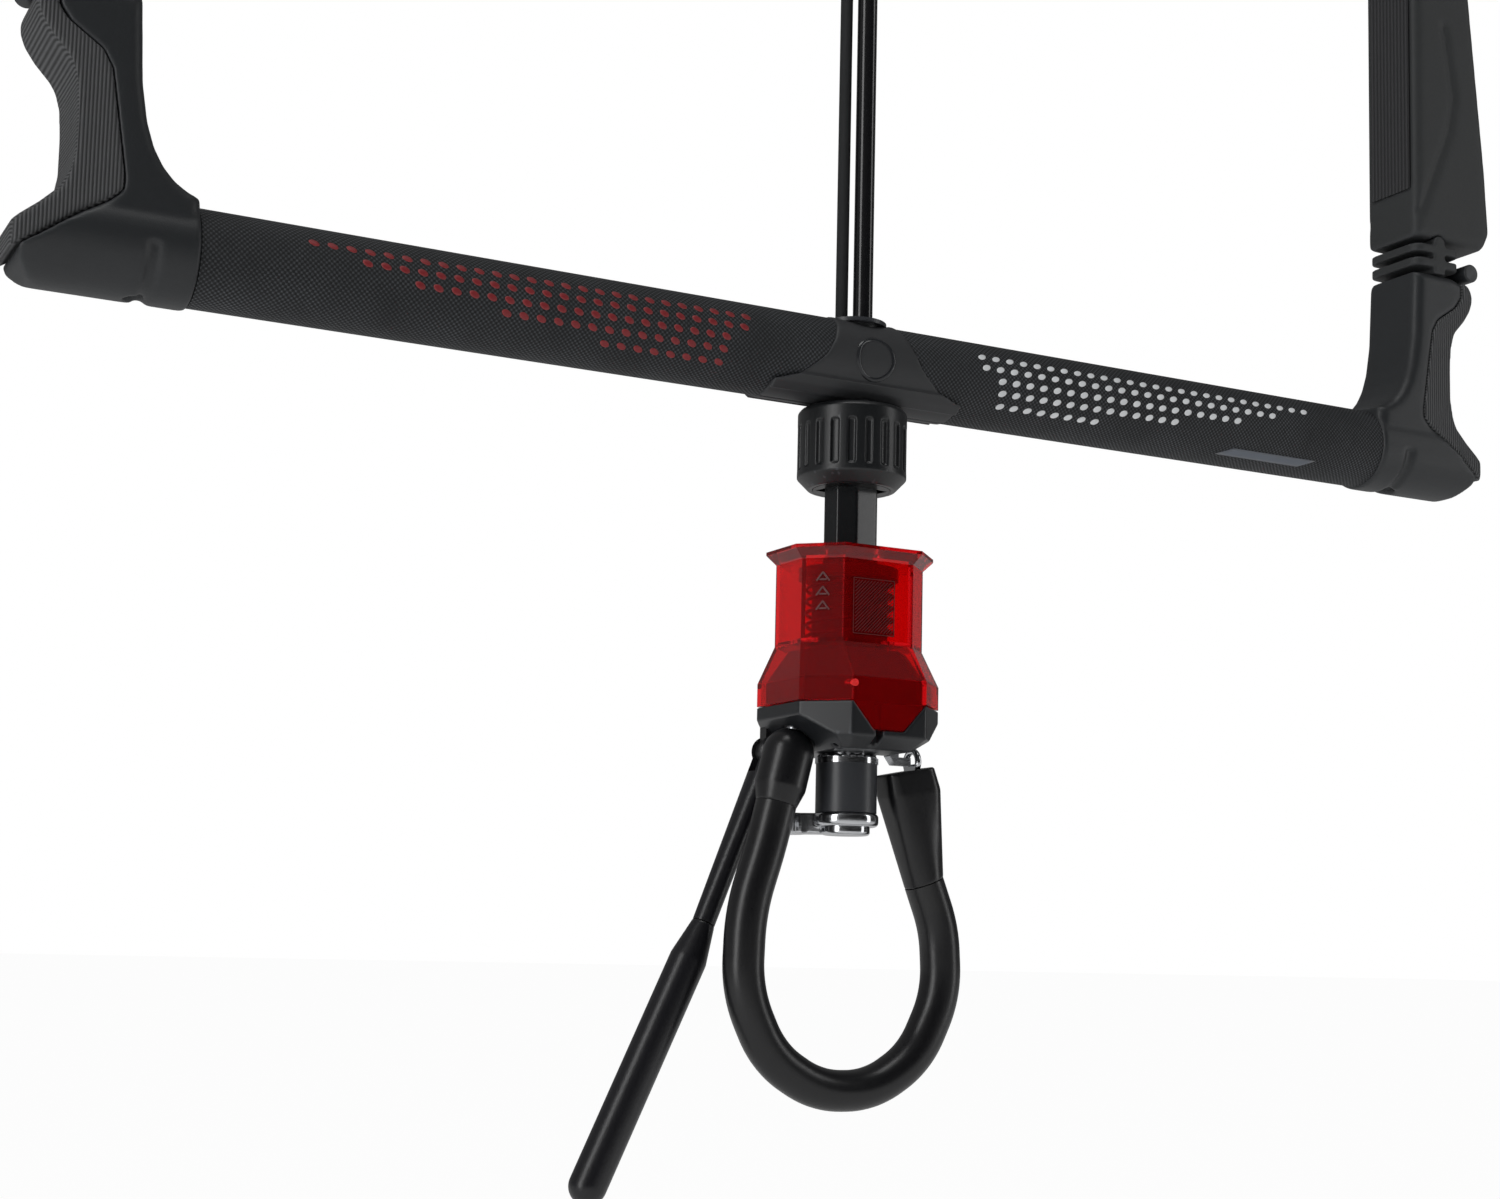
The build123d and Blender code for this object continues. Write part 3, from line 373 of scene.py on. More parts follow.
BLACK = (0.008, 0.009, 0.010)
RUBBED = (0.05, 0.053, 0.06)
FAINT = (0.02, 0.02, 0.02)
line_gloss = moulded_plastic("line_gloss", (0.007, 0.007, 0.008), FAINT, 0.16, 2.5, 0.03)
cap_black = moulded_plastic("cap_black", (0.016, 0.018, 0.020), RUBBED, 0.46, 0.35, 0.35)
float_black = moulded_plastic("float_black", (0.024, 0.026, 0.027), RUBBED, 0.6, 0.5, 0.3)
swivel_black = moulded_plastic("swivel_black", BLACK, RUBBED, 0.34, 0.4, 0.12)
post_black = moulded_plastic("post_black", BLACK, RUBBED, 0.2, 0.5, 0.05)
base_black = moulded_plastic("base_black", (0.012, 0.013, 0.015), RUBBED, 0.3, 0.4, 0.1)
insert_black = moulded_plastic("insert_black", (0.024, 0.025, 0.027), RUBBED, 0.52, 0.3, 0.3)
core_black = moulded_plastic("core_black", (0.004, 0.004, 0.004), (0.01, 0.01, 0.01), 0.7, 0.4, 0.1)
loop_black = moulded_plastic("loop_black", (0.006, 0.006, 0.007), FAINT, 0.3, 0.8, 0.04)
stick_black = moulded_plastic("stick_black", (0.007, 0.007, 0.009), FAINT, 0.32, 0.7, 0.3)
dot_red = moulded_plastic("dot_red", (0.19, 0.008, 0.012), (0.35, 0.05, 0.05), 0.5, 0.4, 0.2)
dot_white = moulded_plastic("dot_white", (0.74, 0.76, 0.78), (0.85, 0.85, 0.85), 0.5, 0.4, 0.2)
plate_grey = moulded_plastic("plate_grey", (0.10, 0.115, 0.14), (0.2, 0.2, 0.2), 0.4, 0.4, 0.15)
mark_red = moulded_plastic("mark_red", (0.9, 0.01, 0.01), (0.95, 0.05, 0.05), 0.25, 0.4, 0.1)

# %% [markdown]
# The grips are foam under a knurled skin: rows of tiny raised diamonds that run round the bar on
# two crossing spirals. The pattern is worked out in the grip's own coordinates, the distance
# along the bar and the distance round it, so the diamonds keep one size everywhere.

# %% Knurled grip skin
GRIP_R = 13.5


def crossing_rows(name, colour, crest_colour, pitch, relief, along, centre, radius):
    """Skin with crossing spiral rows, pitch millimetres apart, round an axis along X or Z."""
    material = bpy.data.materials.new(name)
    material.use_nodes = True
    tree = material.node_tree
    tree.nodes.clear()
    frame_round = tree.nodes.new("NodeFrame")
    frame_round.label = "distance along and round the bar"
    frame_rows = tree.nodes.new("NodeFrame")
    frame_rows.label = "two crossing rows of ridges"
    out = tree.nodes.new("ShaderNodeOutputMaterial")
    out.label = "grip surface"
    out.location = (1700, 0)
    skin = tree.nodes.new("ShaderNodeBsdfPrincipled")
    skin.label = "foam skin"
    skin.location = (1400, 0)
    place = tree.nodes.new("ShaderNodeTexCoord")
    place.label = "place on the grip"
    place.location = (-1300, 0)
    parts = tree.nodes.new("ShaderNodeSeparateXYZ")
    parts.label = "along, across, up"
    parts.location = (-1100, 0)
    parts.parent = frame_round
    centred = tree.nodes.new("ShaderNodeVectorMath")
    centred.label = "counted from the axis"
    centred.location = (-1200, -200)
    centred.parent = frame_round
    turn = tree.nodes.new("ShaderNodeMath")
    turn.label = "angle round the axis"
    turn.location = (-700, -200)
    turn.parent = frame_round
    girth = tree.nodes.new("ShaderNodeMath")
    girth.label = "angle as whole rows round"
    girth.location = (-500, -200)
    girth.parent = frame_round
    length = tree.nodes.new("ShaderNodeMath")
    length.label = "length as rows along"
    length.location = (-500, 100)
    length.parent = frame_round
    rising = tree.nodes.new("ShaderNodeMath")
    rising.label = "rising spiral"
    rising.location = (-250, 100)
    rising.parent = frame_rows
    falling = tree.nodes.new("ShaderNodeMath")
    falling.label = "falling spiral"
    falling.location = (-250, -100)
    falling.parent = frame_rows
    rising_wave = tree.nodes.new("ShaderNodeMath")
    rising_wave.label = "rising ridges"
    rising_wave.location = (-50, 100)
    rising_wave.parent = frame_rows
    falling_wave = tree.nodes.new("ShaderNodeMath")
    falling_wave.label = "falling ridges"
    falling_wave.location = (-50, -100)
    falling_wave.parent = frame_rows
    diamonds = tree.nodes.new("ShaderNodeMath")
    diamonds.label = "diamonds where ridges cross"
    diamonds.location = (150, 0)
    diamonds.parent = frame_rows
    crest = tree.nodes.new("ShaderNodeMapRange")
    crest.label = "crest of a diamond"
    crest.location = (350, 0)
    crest.parent = frame_rows
    # Painted highlight: noise patches tint the knurl crests paler, in place of light caught on
    # them.
    highlight_patches = tree.nodes.new("ShaderNodeTexNoise")
    highlight_patches.label = "patches of painted highlight"
    highlight_patches.location = (350, 350)
    lit_crest = tree.nodes.new("ShaderNodeMath")
    lit_crest.label = "painted highlight on crests here and there"
    lit_crest.location = (600, 250)
    tint = tree.nodes.new("ShaderNodeMix")
    tint.label = "paler crests"
    tint.location = (850, 250)
    dull = tree.nodes.new("ShaderNodeMapRange")
    dull.label = "crests shine more"
    dull.location = (850, 0)
    raised = tree.nodes.new("ShaderNodeBump")
    raised.label = "knurl relief"
    raised.location = (1100, -250)
    centred.operation = "SUBTRACT"
    turn.operation = "ARCTAN2"
    girth.operation = "MULTIPLY"
    length.operation = "MULTIPLY"
    rising.operation = "ADD"
    falling.operation = "SUBTRACT"
    rising_wave.operation = "SINE"
    falling_wave.operation = "SINE"
    diamonds.operation = "ADD"
    lit_crest.operation = "MULTIPLY"
    tint.data_type = "RGBA"
    skin.inputs["Specular IOR Level"].default_value = 0.4
    centred.inputs[1].default_value = centre
    girth.inputs[1].default_value = round(2 * pi * radius / pitch)
    length.inputs[1].default_value = 2 * pi / (pitch * MM)
    crest.inputs["From Min"].default_value = -0.6
    crest.inputs["From Max"].default_value = 2.0
    highlight_patches.inputs["Scale"].default_value = 60
    highlight_patches.inputs["Detail"].default_value = 3
    tint.inputs["A"].default_value = (*colour, 1)
    tint.inputs["B"].default_value = (*crest_colour, 1)
    dull.inputs["To Min"].default_value = 0.75
    dull.inputs["To Max"].default_value = 0.45
    raised.inputs["Strength"].default_value = relief
    raised.inputs["Distance"].default_value = 0.25 * MM
    across = "Z" if along == "X" else "X"
    tree.links.new(place.outputs["Object"], centred.inputs[0])
    tree.links.new(centred.outputs["Vector"], parts.inputs["Vector"])
    tree.links.new(place.outputs["Object"], highlight_patches.inputs["Vector"])
    tree.links.new(parts.outputs[across], turn.inputs[0])
    tree.links.new(parts.outputs["Y"], turn.inputs[1])
    tree.links.new(turn.outputs["Value"], girth.inputs[0])
    tree.links.new(parts.outputs[along], length.inputs[0])
    tree.links.new(length.outputs["Value"], rising.inputs[0])
    tree.links.new(girth.outputs["Value"], rising.inputs[1])
    tree.links.new(length.outputs["Value"], falling.inputs[0])
    tree.links.new(girth.outputs["Value"], falling.inputs[1])
    tree.links.new(rising.outputs["Value"], rising_wave.inputs[0])
    tree.links.new(falling.outputs["Value"], falling_wave.inputs[0])
    tree.links.new(rising_wave.outputs["Value"], diamonds.inputs[0])
    tree.links.new(falling_wave.outputs["Value"], diamonds.inputs[1])
    tree.links.new(diamonds.outputs["Value"], crest.inputs["Value"])
    tree.links.new(crest.outputs["Result"], lit_crest.inputs[0])
    tree.links.new(highlight_patches.outputs["Fac"], lit_crest.inputs[1])
    tree.links.new(lit_crest.outputs["Value"], tint.inputs["Factor"])
    tree.links.new(tint.outputs["Result"], skin.inputs["Base Color"])
    tree.links.new(crest.outputs["Result"], dull.inputs["Value"])
    tree.links.new(dull.outputs["Result"], skin.inputs["Roughness"])
    tree.links.new(crest.outputs["Result"], raised.inputs["Height"])
    tree.links.new(raised.outputs["Normal"], skin.inputs["Normal"])
    tree.links.new(skin.outputs["BSDF"], out.inputs["Surface"])
    print(name, "rows", pitch, "mm apart")
    return material


BAR_AXIS = (0, 0, BAR_Z)
INK = (0.009, 0.010, 0.011)
# The paler crest colours of the grip and of the safety braid are painted highlight.
CREST_HIGHLIGHT = (0.10, 0.108, 0.12)
SAFETY_AXIS = (SAFETY_X * MM, SAFETY_Y * MM, 0)
BRAID_CREST = (0.03, 0.03, 0.033)
grip_skin = crossing_rows("grip_skin", INK, CREST_HIGHLIGHT, 1.5, 0.8, "X", BAR_AXIS, GRIP_R)
safety_braid = crossing_rows(
    "safety_braid", INK, BRAID_CREST, 0.9, 0.5, "Z", SAFETY_AXIS, SAFETY_R
)

# %% [markdown]
# The winding pads are soft rubber with fine ribs. On the front and back the ribs stand upright,
# and on the outer face, where the lines are wound, they run from front to back. The surface's own
# direction tells the two apart. The same make-up, with wider ribs, serves the floats' panels.

# %% Ribbed rubber


def ribbed_rubber(name, colour, crest_colour, front_pitch, side_pitch, side_axis, relief):
    """Rubber with upright ribs in front, and ribs counted along side_axis on the other faces."""
    material = bpy.data.materials.new(name)
    material.use_nodes = True
    tree = material.node_tree
    tree.nodes.clear()
    frame_ribs = tree.nodes.new("NodeFrame")
    frame_ribs.label = "ribs by the way a face looks"
    out = tree.nodes.new("ShaderNodeOutputMaterial")
    out.label = "rubber surface"
    out.location = (1300, 0)
    skin = tree.nodes.new("ShaderNodeBsdfPrincipled")
    skin.label = "ribbed rubber"
    skin.location = (1000, 0)
    place = tree.nodes.new("ShaderNodeTexCoord")
    place.label = "place and direction"
    place.location = (-1000, 0)
    parts = tree.nodes.new("ShaderNodeSeparateXYZ")
    parts.label = "along, across, up"
    parts.location = (-800, 0)
    parts.parent = frame_ribs
    facing = tree.nodes.new("ShaderNodeSeparateXYZ")
    facing.label = "the way a face looks"
    facing.location = (-800, 300)
    facing.parent = frame_ribs
    forwards = tree.nodes.new("ShaderNodeMath")
    forwards.label = "looks forwards or back"
    forwards.location = (-600, 300)
    forwards.parent = frame_ribs
    front_share = tree.nodes.new("ShaderNodeMapRange")
    front_share.label = "front or outer face"
    front_share.location = (-400, 300)
    front_share.parent = frame_ribs
    upright = tree.nodes.new("ShaderNodeMath")
    upright.label = "upright ribs, phase"
    upright.location = (-600, 100)
    upright.parent = frame_ribs
    upright_wave = tree.nodes.new("ShaderNodeMath")
    upright_wave.label = "upright ribs"
    upright_wave.location = (-400, 100)
    upright_wave.parent = frame_ribs
    level_ribs = tree.nodes.new("ShaderNodeMath")
    level_ribs.label = "level ribs, phase"
    level_ribs.location = (-600, -100)
    level_ribs.parent = frame_ribs
    level_wave = tree.nodes.new("ShaderNodeMath")
    level_wave.label = "level ribs"
    level_wave.location = (-400, -100)
    level_wave.parent = frame_ribs
    ribs = tree.nodes.new("ShaderNodeMix")
    ribs.label = "ribs of this face"
    ribs.location = (-150, 100)
    ribs.parent = frame_ribs
    crest = tree.nodes.new("ShaderNodeMapRange")
    crest.label = "crest of a rib"
    crest.location = (50, 100)
    crest.parent = frame_ribs
    tint = tree.nodes.new("ShaderNodeMix")
    tint.label = "paler crests"
    tint.location = (400, 200)
    dust = tree.nodes.new("ShaderNodeTexNoise")
    dust.label = "rubber bloom"
    dust.location = (50, -200)
    dull = tree.nodes.new("ShaderNodeMapRange")
    dull.label = "uneven shine"
    dull.location = (400, -100)
    raised = tree.nodes.new("ShaderNodeBump")
    raised.label = "rib relief"
    raised.location = (700, -250)
    forwards.operation = "ABSOLUTE"
    upright.operation = "MULTIPLY"
    upright_wave.operation = "SINE"
    level_ribs.operation = "MULTIPLY"
    level_wave.operation = "SINE"
    tint.data_type = "RGBA"
    front_share.inputs["From Min"].default_value = 0.6
    front_share.inputs["From Max"].default_value = 0.8
    upright.inputs[1].default_value = 2 * pi / (front_pitch * MM)
    level_ribs.inputs[1].default_value = 2 * pi / (side_pitch * MM)
    crest.inputs["From Min"].default_value = -1.0
    tint.inputs["A"].default_value = (*colour, 1)
    tint.inputs["B"].default_value = (*crest_colour, 1)
    dust.inputs["Scale"].default_value = 130
    dull.inputs["To Min"].default_value = 0.5
    dull.inputs["To Max"].default_value = 0.72
    raised.inputs["Strength"].default_value = relief
    raised.inputs["Distance"].default_value = 0.25 * MM
    tree.links.new(place.outputs["Object"], parts.inputs["Vector"])
    tree.links.new(place.outputs["Object"], dust.inputs["Vector"])
    tree.links.new(place.outputs["Normal"], facing.inputs["Vector"])
    tree.links.new(facing.outputs["Y"], forwards.inputs[0])
    tree.links.new(forwards.outputs["Value"], front_share.inputs["Value"])
    tree.links.new(parts.outputs["X"], upright.inputs[0])
    tree.links.new(upright.outputs["Value"], upright_wave.inputs[0])
    tree.links.new(parts.outputs[side_axis], level_ribs.inputs[0])
    tree.links.new(level_ribs.outputs["Value"], level_wave.inputs[0])
    tree.links.new(front_share.outputs["Result"], ribs.inputs["Factor"])
    tree.links.new(level_wave.outputs["Value"], ribs.inputs["A"])
    tree.links.new(upright_wave.outputs["Value"], ribs.inputs["B"])
    tree.links.new(ribs.outputs["Result"], crest.inputs["Value"])
    tree.links.new(crest.outputs["Result"], tint.inputs["Factor"])
    tree.links.new(tint.outputs["Result"], skin.inputs["Base Color"])
    tree.links.new(dust.outputs["Fac"], dull.inputs["Value"])
    tree.links.new(dull.outputs["Result"], skin.inputs["Roughness"])
    tree.links.new(crest.outputs["Result"], raised.inputs["Height"])
    tree.links.new(raised.outputs["Normal"], skin.inputs["Normal"])
    tree.links.new(skin.outputs["BSDF"], out.inputs["Surface"])
    print(name, "ribs", front_pitch, "and", side_pitch, "mm")
    return material


PAD_DEEP = (0.014, 0.015, 0.016)
PAD_CREST = (0.10, 0.102, 0.106)
pad_rubber = ribbed_rubber("pad_rubber", PAD_DEEP, PAD_CREST, 1.0, 1.1, "Z", 0.7)
panel_rubber = ribbed_rubber("panel_rubber", INK, (0.035, 0.035, 0.038), 1.7, 1.7, "Y", 0.8)

# %% [markdown]
# The metal pieces differ only in colour and polish. Turned and drawn metal carries fine scratches,
# so its shine varies along them. The scratches come from noise that is stretched along one axis.

# %% Metals


def worked_metal(name, colour, polish, scratch_size, relief):
    """Metal with fine stretched scratches of a given size in millimetres."""
    material = bpy.data.materials.new(name)
    material.use_nodes = True
    tree = material.node_tree
    tree.nodes.clear()
    frame_scratch = tree.nodes.new("NodeFrame")
    frame_scratch.label = "tool marks"
    out = tree.nodes.new("ShaderNodeOutputMaterial")
    out.label = "metal surface"
    out.location = (800, 0)
    skin = tree.nodes.new("ShaderNodeBsdfPrincipled")
    skin.label = "metal"
    skin.location = (500, 0)
    place = tree.nodes.new("ShaderNodeTexCoord")
    place.label = "place on the piece"
    place.location = (-700, 0)
    stretch = tree.nodes.new("ShaderNodeMapping")
    stretch.label = "marks run round the piece"
    stretch.location = (-500, 0)
    stretch.parent = frame_scratch
    marks = tree.nodes.new("ShaderNodeTexNoise")
    marks.label = "tool marks"
    marks.location = (-300, 0)
    marks.parent = frame_scratch
    dull = tree.nodes.new("ShaderNodeMapRange")
    dull.label = "shine along the marks"
    dull.location = (0, 100)
    dull.parent = frame_scratch
    raised = tree.nodes.new("ShaderNodeBump")
    raised.label = "depth of the marks"
    raised.location = (0, -200)
    raised.parent = frame_scratch
    skin.inputs["Base Color"].default_value = (*colour, 1)
    skin.inputs["Metallic"].default_value = 1.0
    stretch.inputs["Scale"].default_value = (0.15, 0.15, 1.0)
    marks.inputs["Scale"].default_value = 1 / (scratch_size * MM)
    marks.inputs["Detail"].default_value = 4
    dull.inputs["To Min"].default_value = max(0.03, polish - 0.08)
    dull.inputs["To Max"].default_value = polish + 0.1
    raised.inputs["Strength"].default_value = relief
    raised.inputs["Distance"].default_value = 0.05 * MM
    tree.links.new(place.outputs["Object"], stretch.inputs["Vector"])
    tree.links.new(stretch.outputs["Vector"], marks.inputs["Vector"])
    tree.links.new(marks.outputs["Fac"], dull.inputs["Value"])
    tree.links.new(dull.outputs["Result"], skin.inputs["Roughness"])
    tree.links.new(marks.outputs["Fac"], raised.inputs["Height"])
    tree.links.new(raised.outputs["Normal"], skin.inputs["Normal"])
    tree.links.new(skin.outputs["BSDF"], out.inputs["Surface"])
    print(name, "polish", polish)
    return material


bright_chrome = worked_metal("bright_chrome", (0.62, 0.63, 0.65), 0.14, 0.5, 0.05)
turned_steel = worked_metal("turned_steel", (0.45, 0.46, 0.48), 0.28, 0.4, 0.15)
drawn_tube = worked_metal("drawn_tube", (0.62, 0.63, 0.66), 0.32, 0.6, 0.15)
dark_spring = worked_metal("dark_spring", (0.06, 0.06, 0.065), 0.4, 0.5, 0.1)
blackened_steel = worked_metal("blackened_steel", (0.03, 0.03, 0.032), 0.35, 0.5, 0.1)
bronze = worked_metal("bronze", (0.55, 0.38, 0.16), 0.3, 0.5, 0.15)

# %% [markdown]
# The release sleeve is a thick moulding in clear red. Light that comes from behind passes through
# both of its walls and glows, and the dark column inside shows as a shadow. Its surface is a
# little frosted, which noise in the roughness and a faint grain give.

# %% Clear red moulding


def clear_moulding(name, colour, frost, grain):
    """Tinted clear plastic with a lightly frosted skin."""
    material = bpy.data.materials.new(name)
    material.use_nodes = True
    tree = material.node_tree
    tree.nodes.clear()
    frame_frost = tree.nodes.new("NodeFrame")
    frame_frost.label = "frosting"
    out = tree.nodes.new("ShaderNodeOutputMaterial")
    out.label = "sleeve surface"
    out.location = (800, 0)
    skin = tree.nodes.new("ShaderNodeBsdfPrincipled")
    skin.label = "clear red plastic"
    skin.location = (500, 0)
    place = tree.nodes.new("ShaderNodeTexCoord")
    place.label = "place on the sleeve"
    place.location = (-700, 0)
    clouds = tree.nodes.new("ShaderNodeTexNoise")
    clouds.label = "uneven tint"
    clouds.location = (-450, 250)
    tint = tree.nodes.new("ShaderNodeMix")
    tint.label = "deeper and lighter red"
    tint.location = (-150, 250)
    grains = tree.nodes.new("ShaderNodeTexNoise")
    grains.label = "frosted grain"
    grains.location = (-450, -150)
    grains.parent = frame_frost
    dull = tree.nodes.new("ShaderNodeMapRange")
    dull.label = "frosting"
    dull.location = (-150, -50)
    dull.parent = frame_frost
    raised = tree.nodes.new("ShaderNodeBump")
    raised.label = "grain relief"
    raised.location = (-150, -350)
    raised.parent = frame_frost
    tint.data_type = "RGBA"
    skin.inputs["Transmission Weight"].default_value = 0.9
    skin.inputs["IOR"].default_value = 1.46
    clouds.inputs["Scale"].default_value = 50
    tint.inputs["A"].default_value = (*colour, 1)
    tint.inputs["B"].default_value = (*[min(1, 1.15 * c) for c in colour], 1)
    grains.inputs["Scale"].default_value = 1 / (grain * MM)
    dull.inputs["To Min"].default_value = frost - 0.05
    dull.inputs["To Max"].default_value = frost + 0.05
    raised.inputs["Strength"].default_value = 0.06
    raised.inputs["Distance"].default_value = 0.1 * MM
    tree.links.new(place.outputs["Object"], clouds.inputs["Vector"])
    tree.links.new(place.outputs["Object"], grains.inputs["Vector"])
    tree.links.new(clouds.outputs["Fac"], tint.inputs["Factor"])
    tree.links.new(tint.outputs["Result"], skin.inputs["Base Color"])
    tree.links.new(grains.outputs["Fac"], dull.inputs["Value"])
    tree.links.new(dull.outputs["Result"], skin.inputs["Roughness"])
    tree.links.new(grains.outputs["Fac"], raised.inputs["Height"])
    tree.links.new(raised.outputs["Normal"], skin.inputs["Normal"])
    tree.links.new(skin.outputs["BSDF"], out.inputs["Surface"])
    print(name, "frost", frost)
    return material


clear_red = clear_moulding("clear_red", (0.70, 0.006, 0.009), 0.07, 0.6)

sleeve_ink = moulded_plastic("sleeve_ink", (0.07, 0.008, 0.008), (0.1, 0.02, 0.02), 0.35, 0.5, 0.1)

# %% [markdown]
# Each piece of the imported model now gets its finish. The model names a paint for each piece, but
# a finish is chosen piece by piece here, because the knob, the post and the caps are all black
# plastic and yet shine differently.

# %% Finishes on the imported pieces


def finish_piece(node, material):
    """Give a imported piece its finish."""
    mesh = nodes[node].data
    for index in range(len(mesh.materials)):
        mesh.materials[index] = material


FINISHES = {
    cap_black: [
        "left_cap", "right_cap", "left_end_plug", "right_end_plug",
        "left_peg", "right_peg",
    ],
    float_black: ["left_float", "right_float", "left_neck", "right_neck"],
    pad_rubber: ["left_pad", "right_pad"],
    panel_rubber: ["left_panel", "right_panel"],
    insert_black: ["front_cover", "rear_cover", "centre_block"],
    swivel_black: ["swivel_knob", "line_head", "leash_spool", "line_bush"],
    post_black: ["swivel_post"],
    base_black: ["base_shell", "column_nut"],
    core_black: ["release_core"],
    loop_black: ["loop_cuff", "loop_tube", "loop_end"],
    stick_black: ["stick_stem", "stick_grip", "stick_lug"],
    grip_skin: ["left_grip", "right_grip"],
    dot_white: ["index_dot"],
    mark_red: ["lock_mark"],
    clear_red: ["release_sleeve"],
    bright_chrome: [
        "bearing_balls", "ball_race", "upper_ring", "spool_nut",
        "leash_ring", "link_ring",
    ],
    turned_steel: [
        "base_screws", "leash_bolt", "loop_stud", "stick_pin",
        "hook_pin", "release_hook",
    ],
    drawn_tube: ["left_core_tube", "right_core_tube"],
    bronze: ["thrust_washer"],
    blackened_steel: ["line_anchor", "post_nut"],
    dark_spring: ["return_spring"],
}
for material, names in FINISHES.items():
    for name in names:
        finish_piece(name, material)
trim_cover.data.materials.append(line_gloss)
safety_cover.data.materials.append(safety_braid)
print("finished", sum(len(names) for names in FINISHES.values()), "pieces")

# %% [markdown]
# Moulded pieces have no knife edges. The model's edges are crisp, so the ones that show get their
# rounding here, as a cast wax model would: the shape is rebuilt from a fine grid, the surface is
# relaxed a few times, which rounds every edge a little and every fillet more, and the flat parts
# are then thinned out again.

# %% Rounded edges


def rounded(node, grid, passes, kept):
    """Round a piece's edges: grid in millimetres, passes of relaxing, and share of faces kept."""
    piece = nodes[node]
    rebuilt = piece.modifiers.new("rebuilt", "REMESH")
    rebuilt.mode = "VOXEL"
    rebuilt.voxel_size = grid * MM
    relaxed = piece.modifiers.new("relaxed", "SMOOTH")
    relaxed.factor = 0.5
    relaxed.iterations = passes
    thinned = piece.modifiers.new("thinned", "DECIMATE")
    thinned.ratio = kept
    for face in piece.data.polygons:
        face.use_smooth = True
    rebuilt.use_smooth_shade = True
    print(node, "rounded on a grid of", grid, "mm")


for side, sign in SIDES:
    rounded(side + "_cap", 0.55, 26, 0.35)
    rounded(side + "_pad", 0.45, 18, 0.35)
    rounded(side + "_float", 1.1, 6, 0.35)
    rounded(side + "_neck", 0.5, 4, 0.3)
rounded("swivel_knob", 0.35, 3, 0.35)
rounded("front_cover", 0.4, 14, 0.35)
rounded("rear_cover", 0.4, 14, 0.35)
rounded("base_shell", 0.4, 3, 0.3)
rounded("swivel_post", 0.4, 3, 0.3)
rounded("loop_end", 0.4, 9, 0.35)
rounded("loop_cuff", 0.4, 4, 0.35)
rounded("stick_grip", 0.4, 4, 0.35)
rounded("leash_ring", 0.35, 3, 0.35)

# %% [markdown]
# Small raised details come next: the dots on the grips, a plain plate, a ring on the insert and
# the marks on the sleeve. Each group is one mesh, filled by a few helpers. A dot is a low dome on
# the round grip, and a strip is a thin bar that lies on a flat facet.

# %% Helpers for raised details

def new_piece(name, verts, faces, body, material, smooth=True):
    """Mesh piece from points and faces, riding a body, with its finish."""
    mesh = bpy.data.meshes.new(name)
    mesh.from_pydata([tuple(v) for v in verts], [], faces)
    mesh.materials.append(material)
    for face in mesh.polygons:
        face.use_smooth = smooth
    piece = bpy.data.objects.new(name, mesh)
    bpy.context.scene.collection.objects.link(piece)
    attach(piece, body)
    print(name, len(faces), "faces")
    return piece


def on_grip(x, angle, lift):
    """Point on a grip: along the bar, degrees up from the front, and lift above the skin."""
    radius = GRIP_R + lift
    return spot(x, -radius * cos(radians(angle)), radius * sin(radians(angle)))


# %% [markdown]
# The dots are printed in a thick rubber ink, red on the left grip and white on the right. They
# stand in slanting rows that run further out the higher they lie on the grip. Each dot is an oval
# dome of two rings and a top.

# %% Grip dots
DOT_ROWS = ((27, 40, 176), (11, 41, 160), (-5, 47, 145), (-21, 47.5, 118), (-39, 48, 86))
DOT_PITCH = 5.3
DOT_STEPS = 14
DOT_LONG = 1.45
DOT_HIGH = 1.1
DOT_SLANT = 0.45
ARC_PER_DEGREE = 0.2356
LEFT_SHIFT = 4.5


def grip_dots(side, sign, material):
    """Rows of raised oval dots on one grip."""
    verts, faces = [], []
    for angle, first, last in DOT_ROWS:
        for count in range(int((last - first) / DOT_PITCH) + 1):
            x = first + count * DOT_PITCH + (LEFT_SHIFT if side == "left" else 0)
            start = len(verts)
            for reach, lift in ((1.0, -0.05), (0.93, 0.12), (0.6, 0.2)):
                for step in range(DOT_STEPS):
                    turn = 2 * pi * step / DOT_STEPS
                    wide = DOT_LONG * reach * cos(turn)
                    high = DOT_HIGH * reach * sin(turn)
                    slant = DOT_SLANT * high
                    turned = angle + high / ARC_PER_DEGREE
                    verts.append(on_grip(sign * (x + wide + slant), turned, lift))
            verts.append(on_grip(sign * x, angle, 0.22))
            top = len(verts) - 1
            for ring in (0, 1):
                for step in range(DOT_STEPS):
                    a = start + ring * DOT_STEPS + step
                    b = start + ring * DOT_STEPS + (step + 1) % DOT_STEPS
                    faces.append((a, b, b + DOT_STEPS, a + DOT_STEPS))
            for step in range(DOT_STEPS):
                a = start + 2 * DOT_STEPS + step
                b = start + 2 * DOT_STEPS + (step + 1) % DOT_STEPS
                faces.append((a, b, top))
            if sign < 0:
                grown = DOT_STEPS * 3
                faces[-grown:] = [tuple(reversed(face)) for face in faces[-grown:]]
    return new_piece(side + "_grip_dots", verts, faces, "bar", material)


grip_dots("left", -1, dot_red)
grip_dots("right", 1, dot_white)

# %% [markdown]
# A white dot on the knob shows how far the line has been turned. It is a small dome that stands a
# little proud of the knob, where the model has its flat dot.

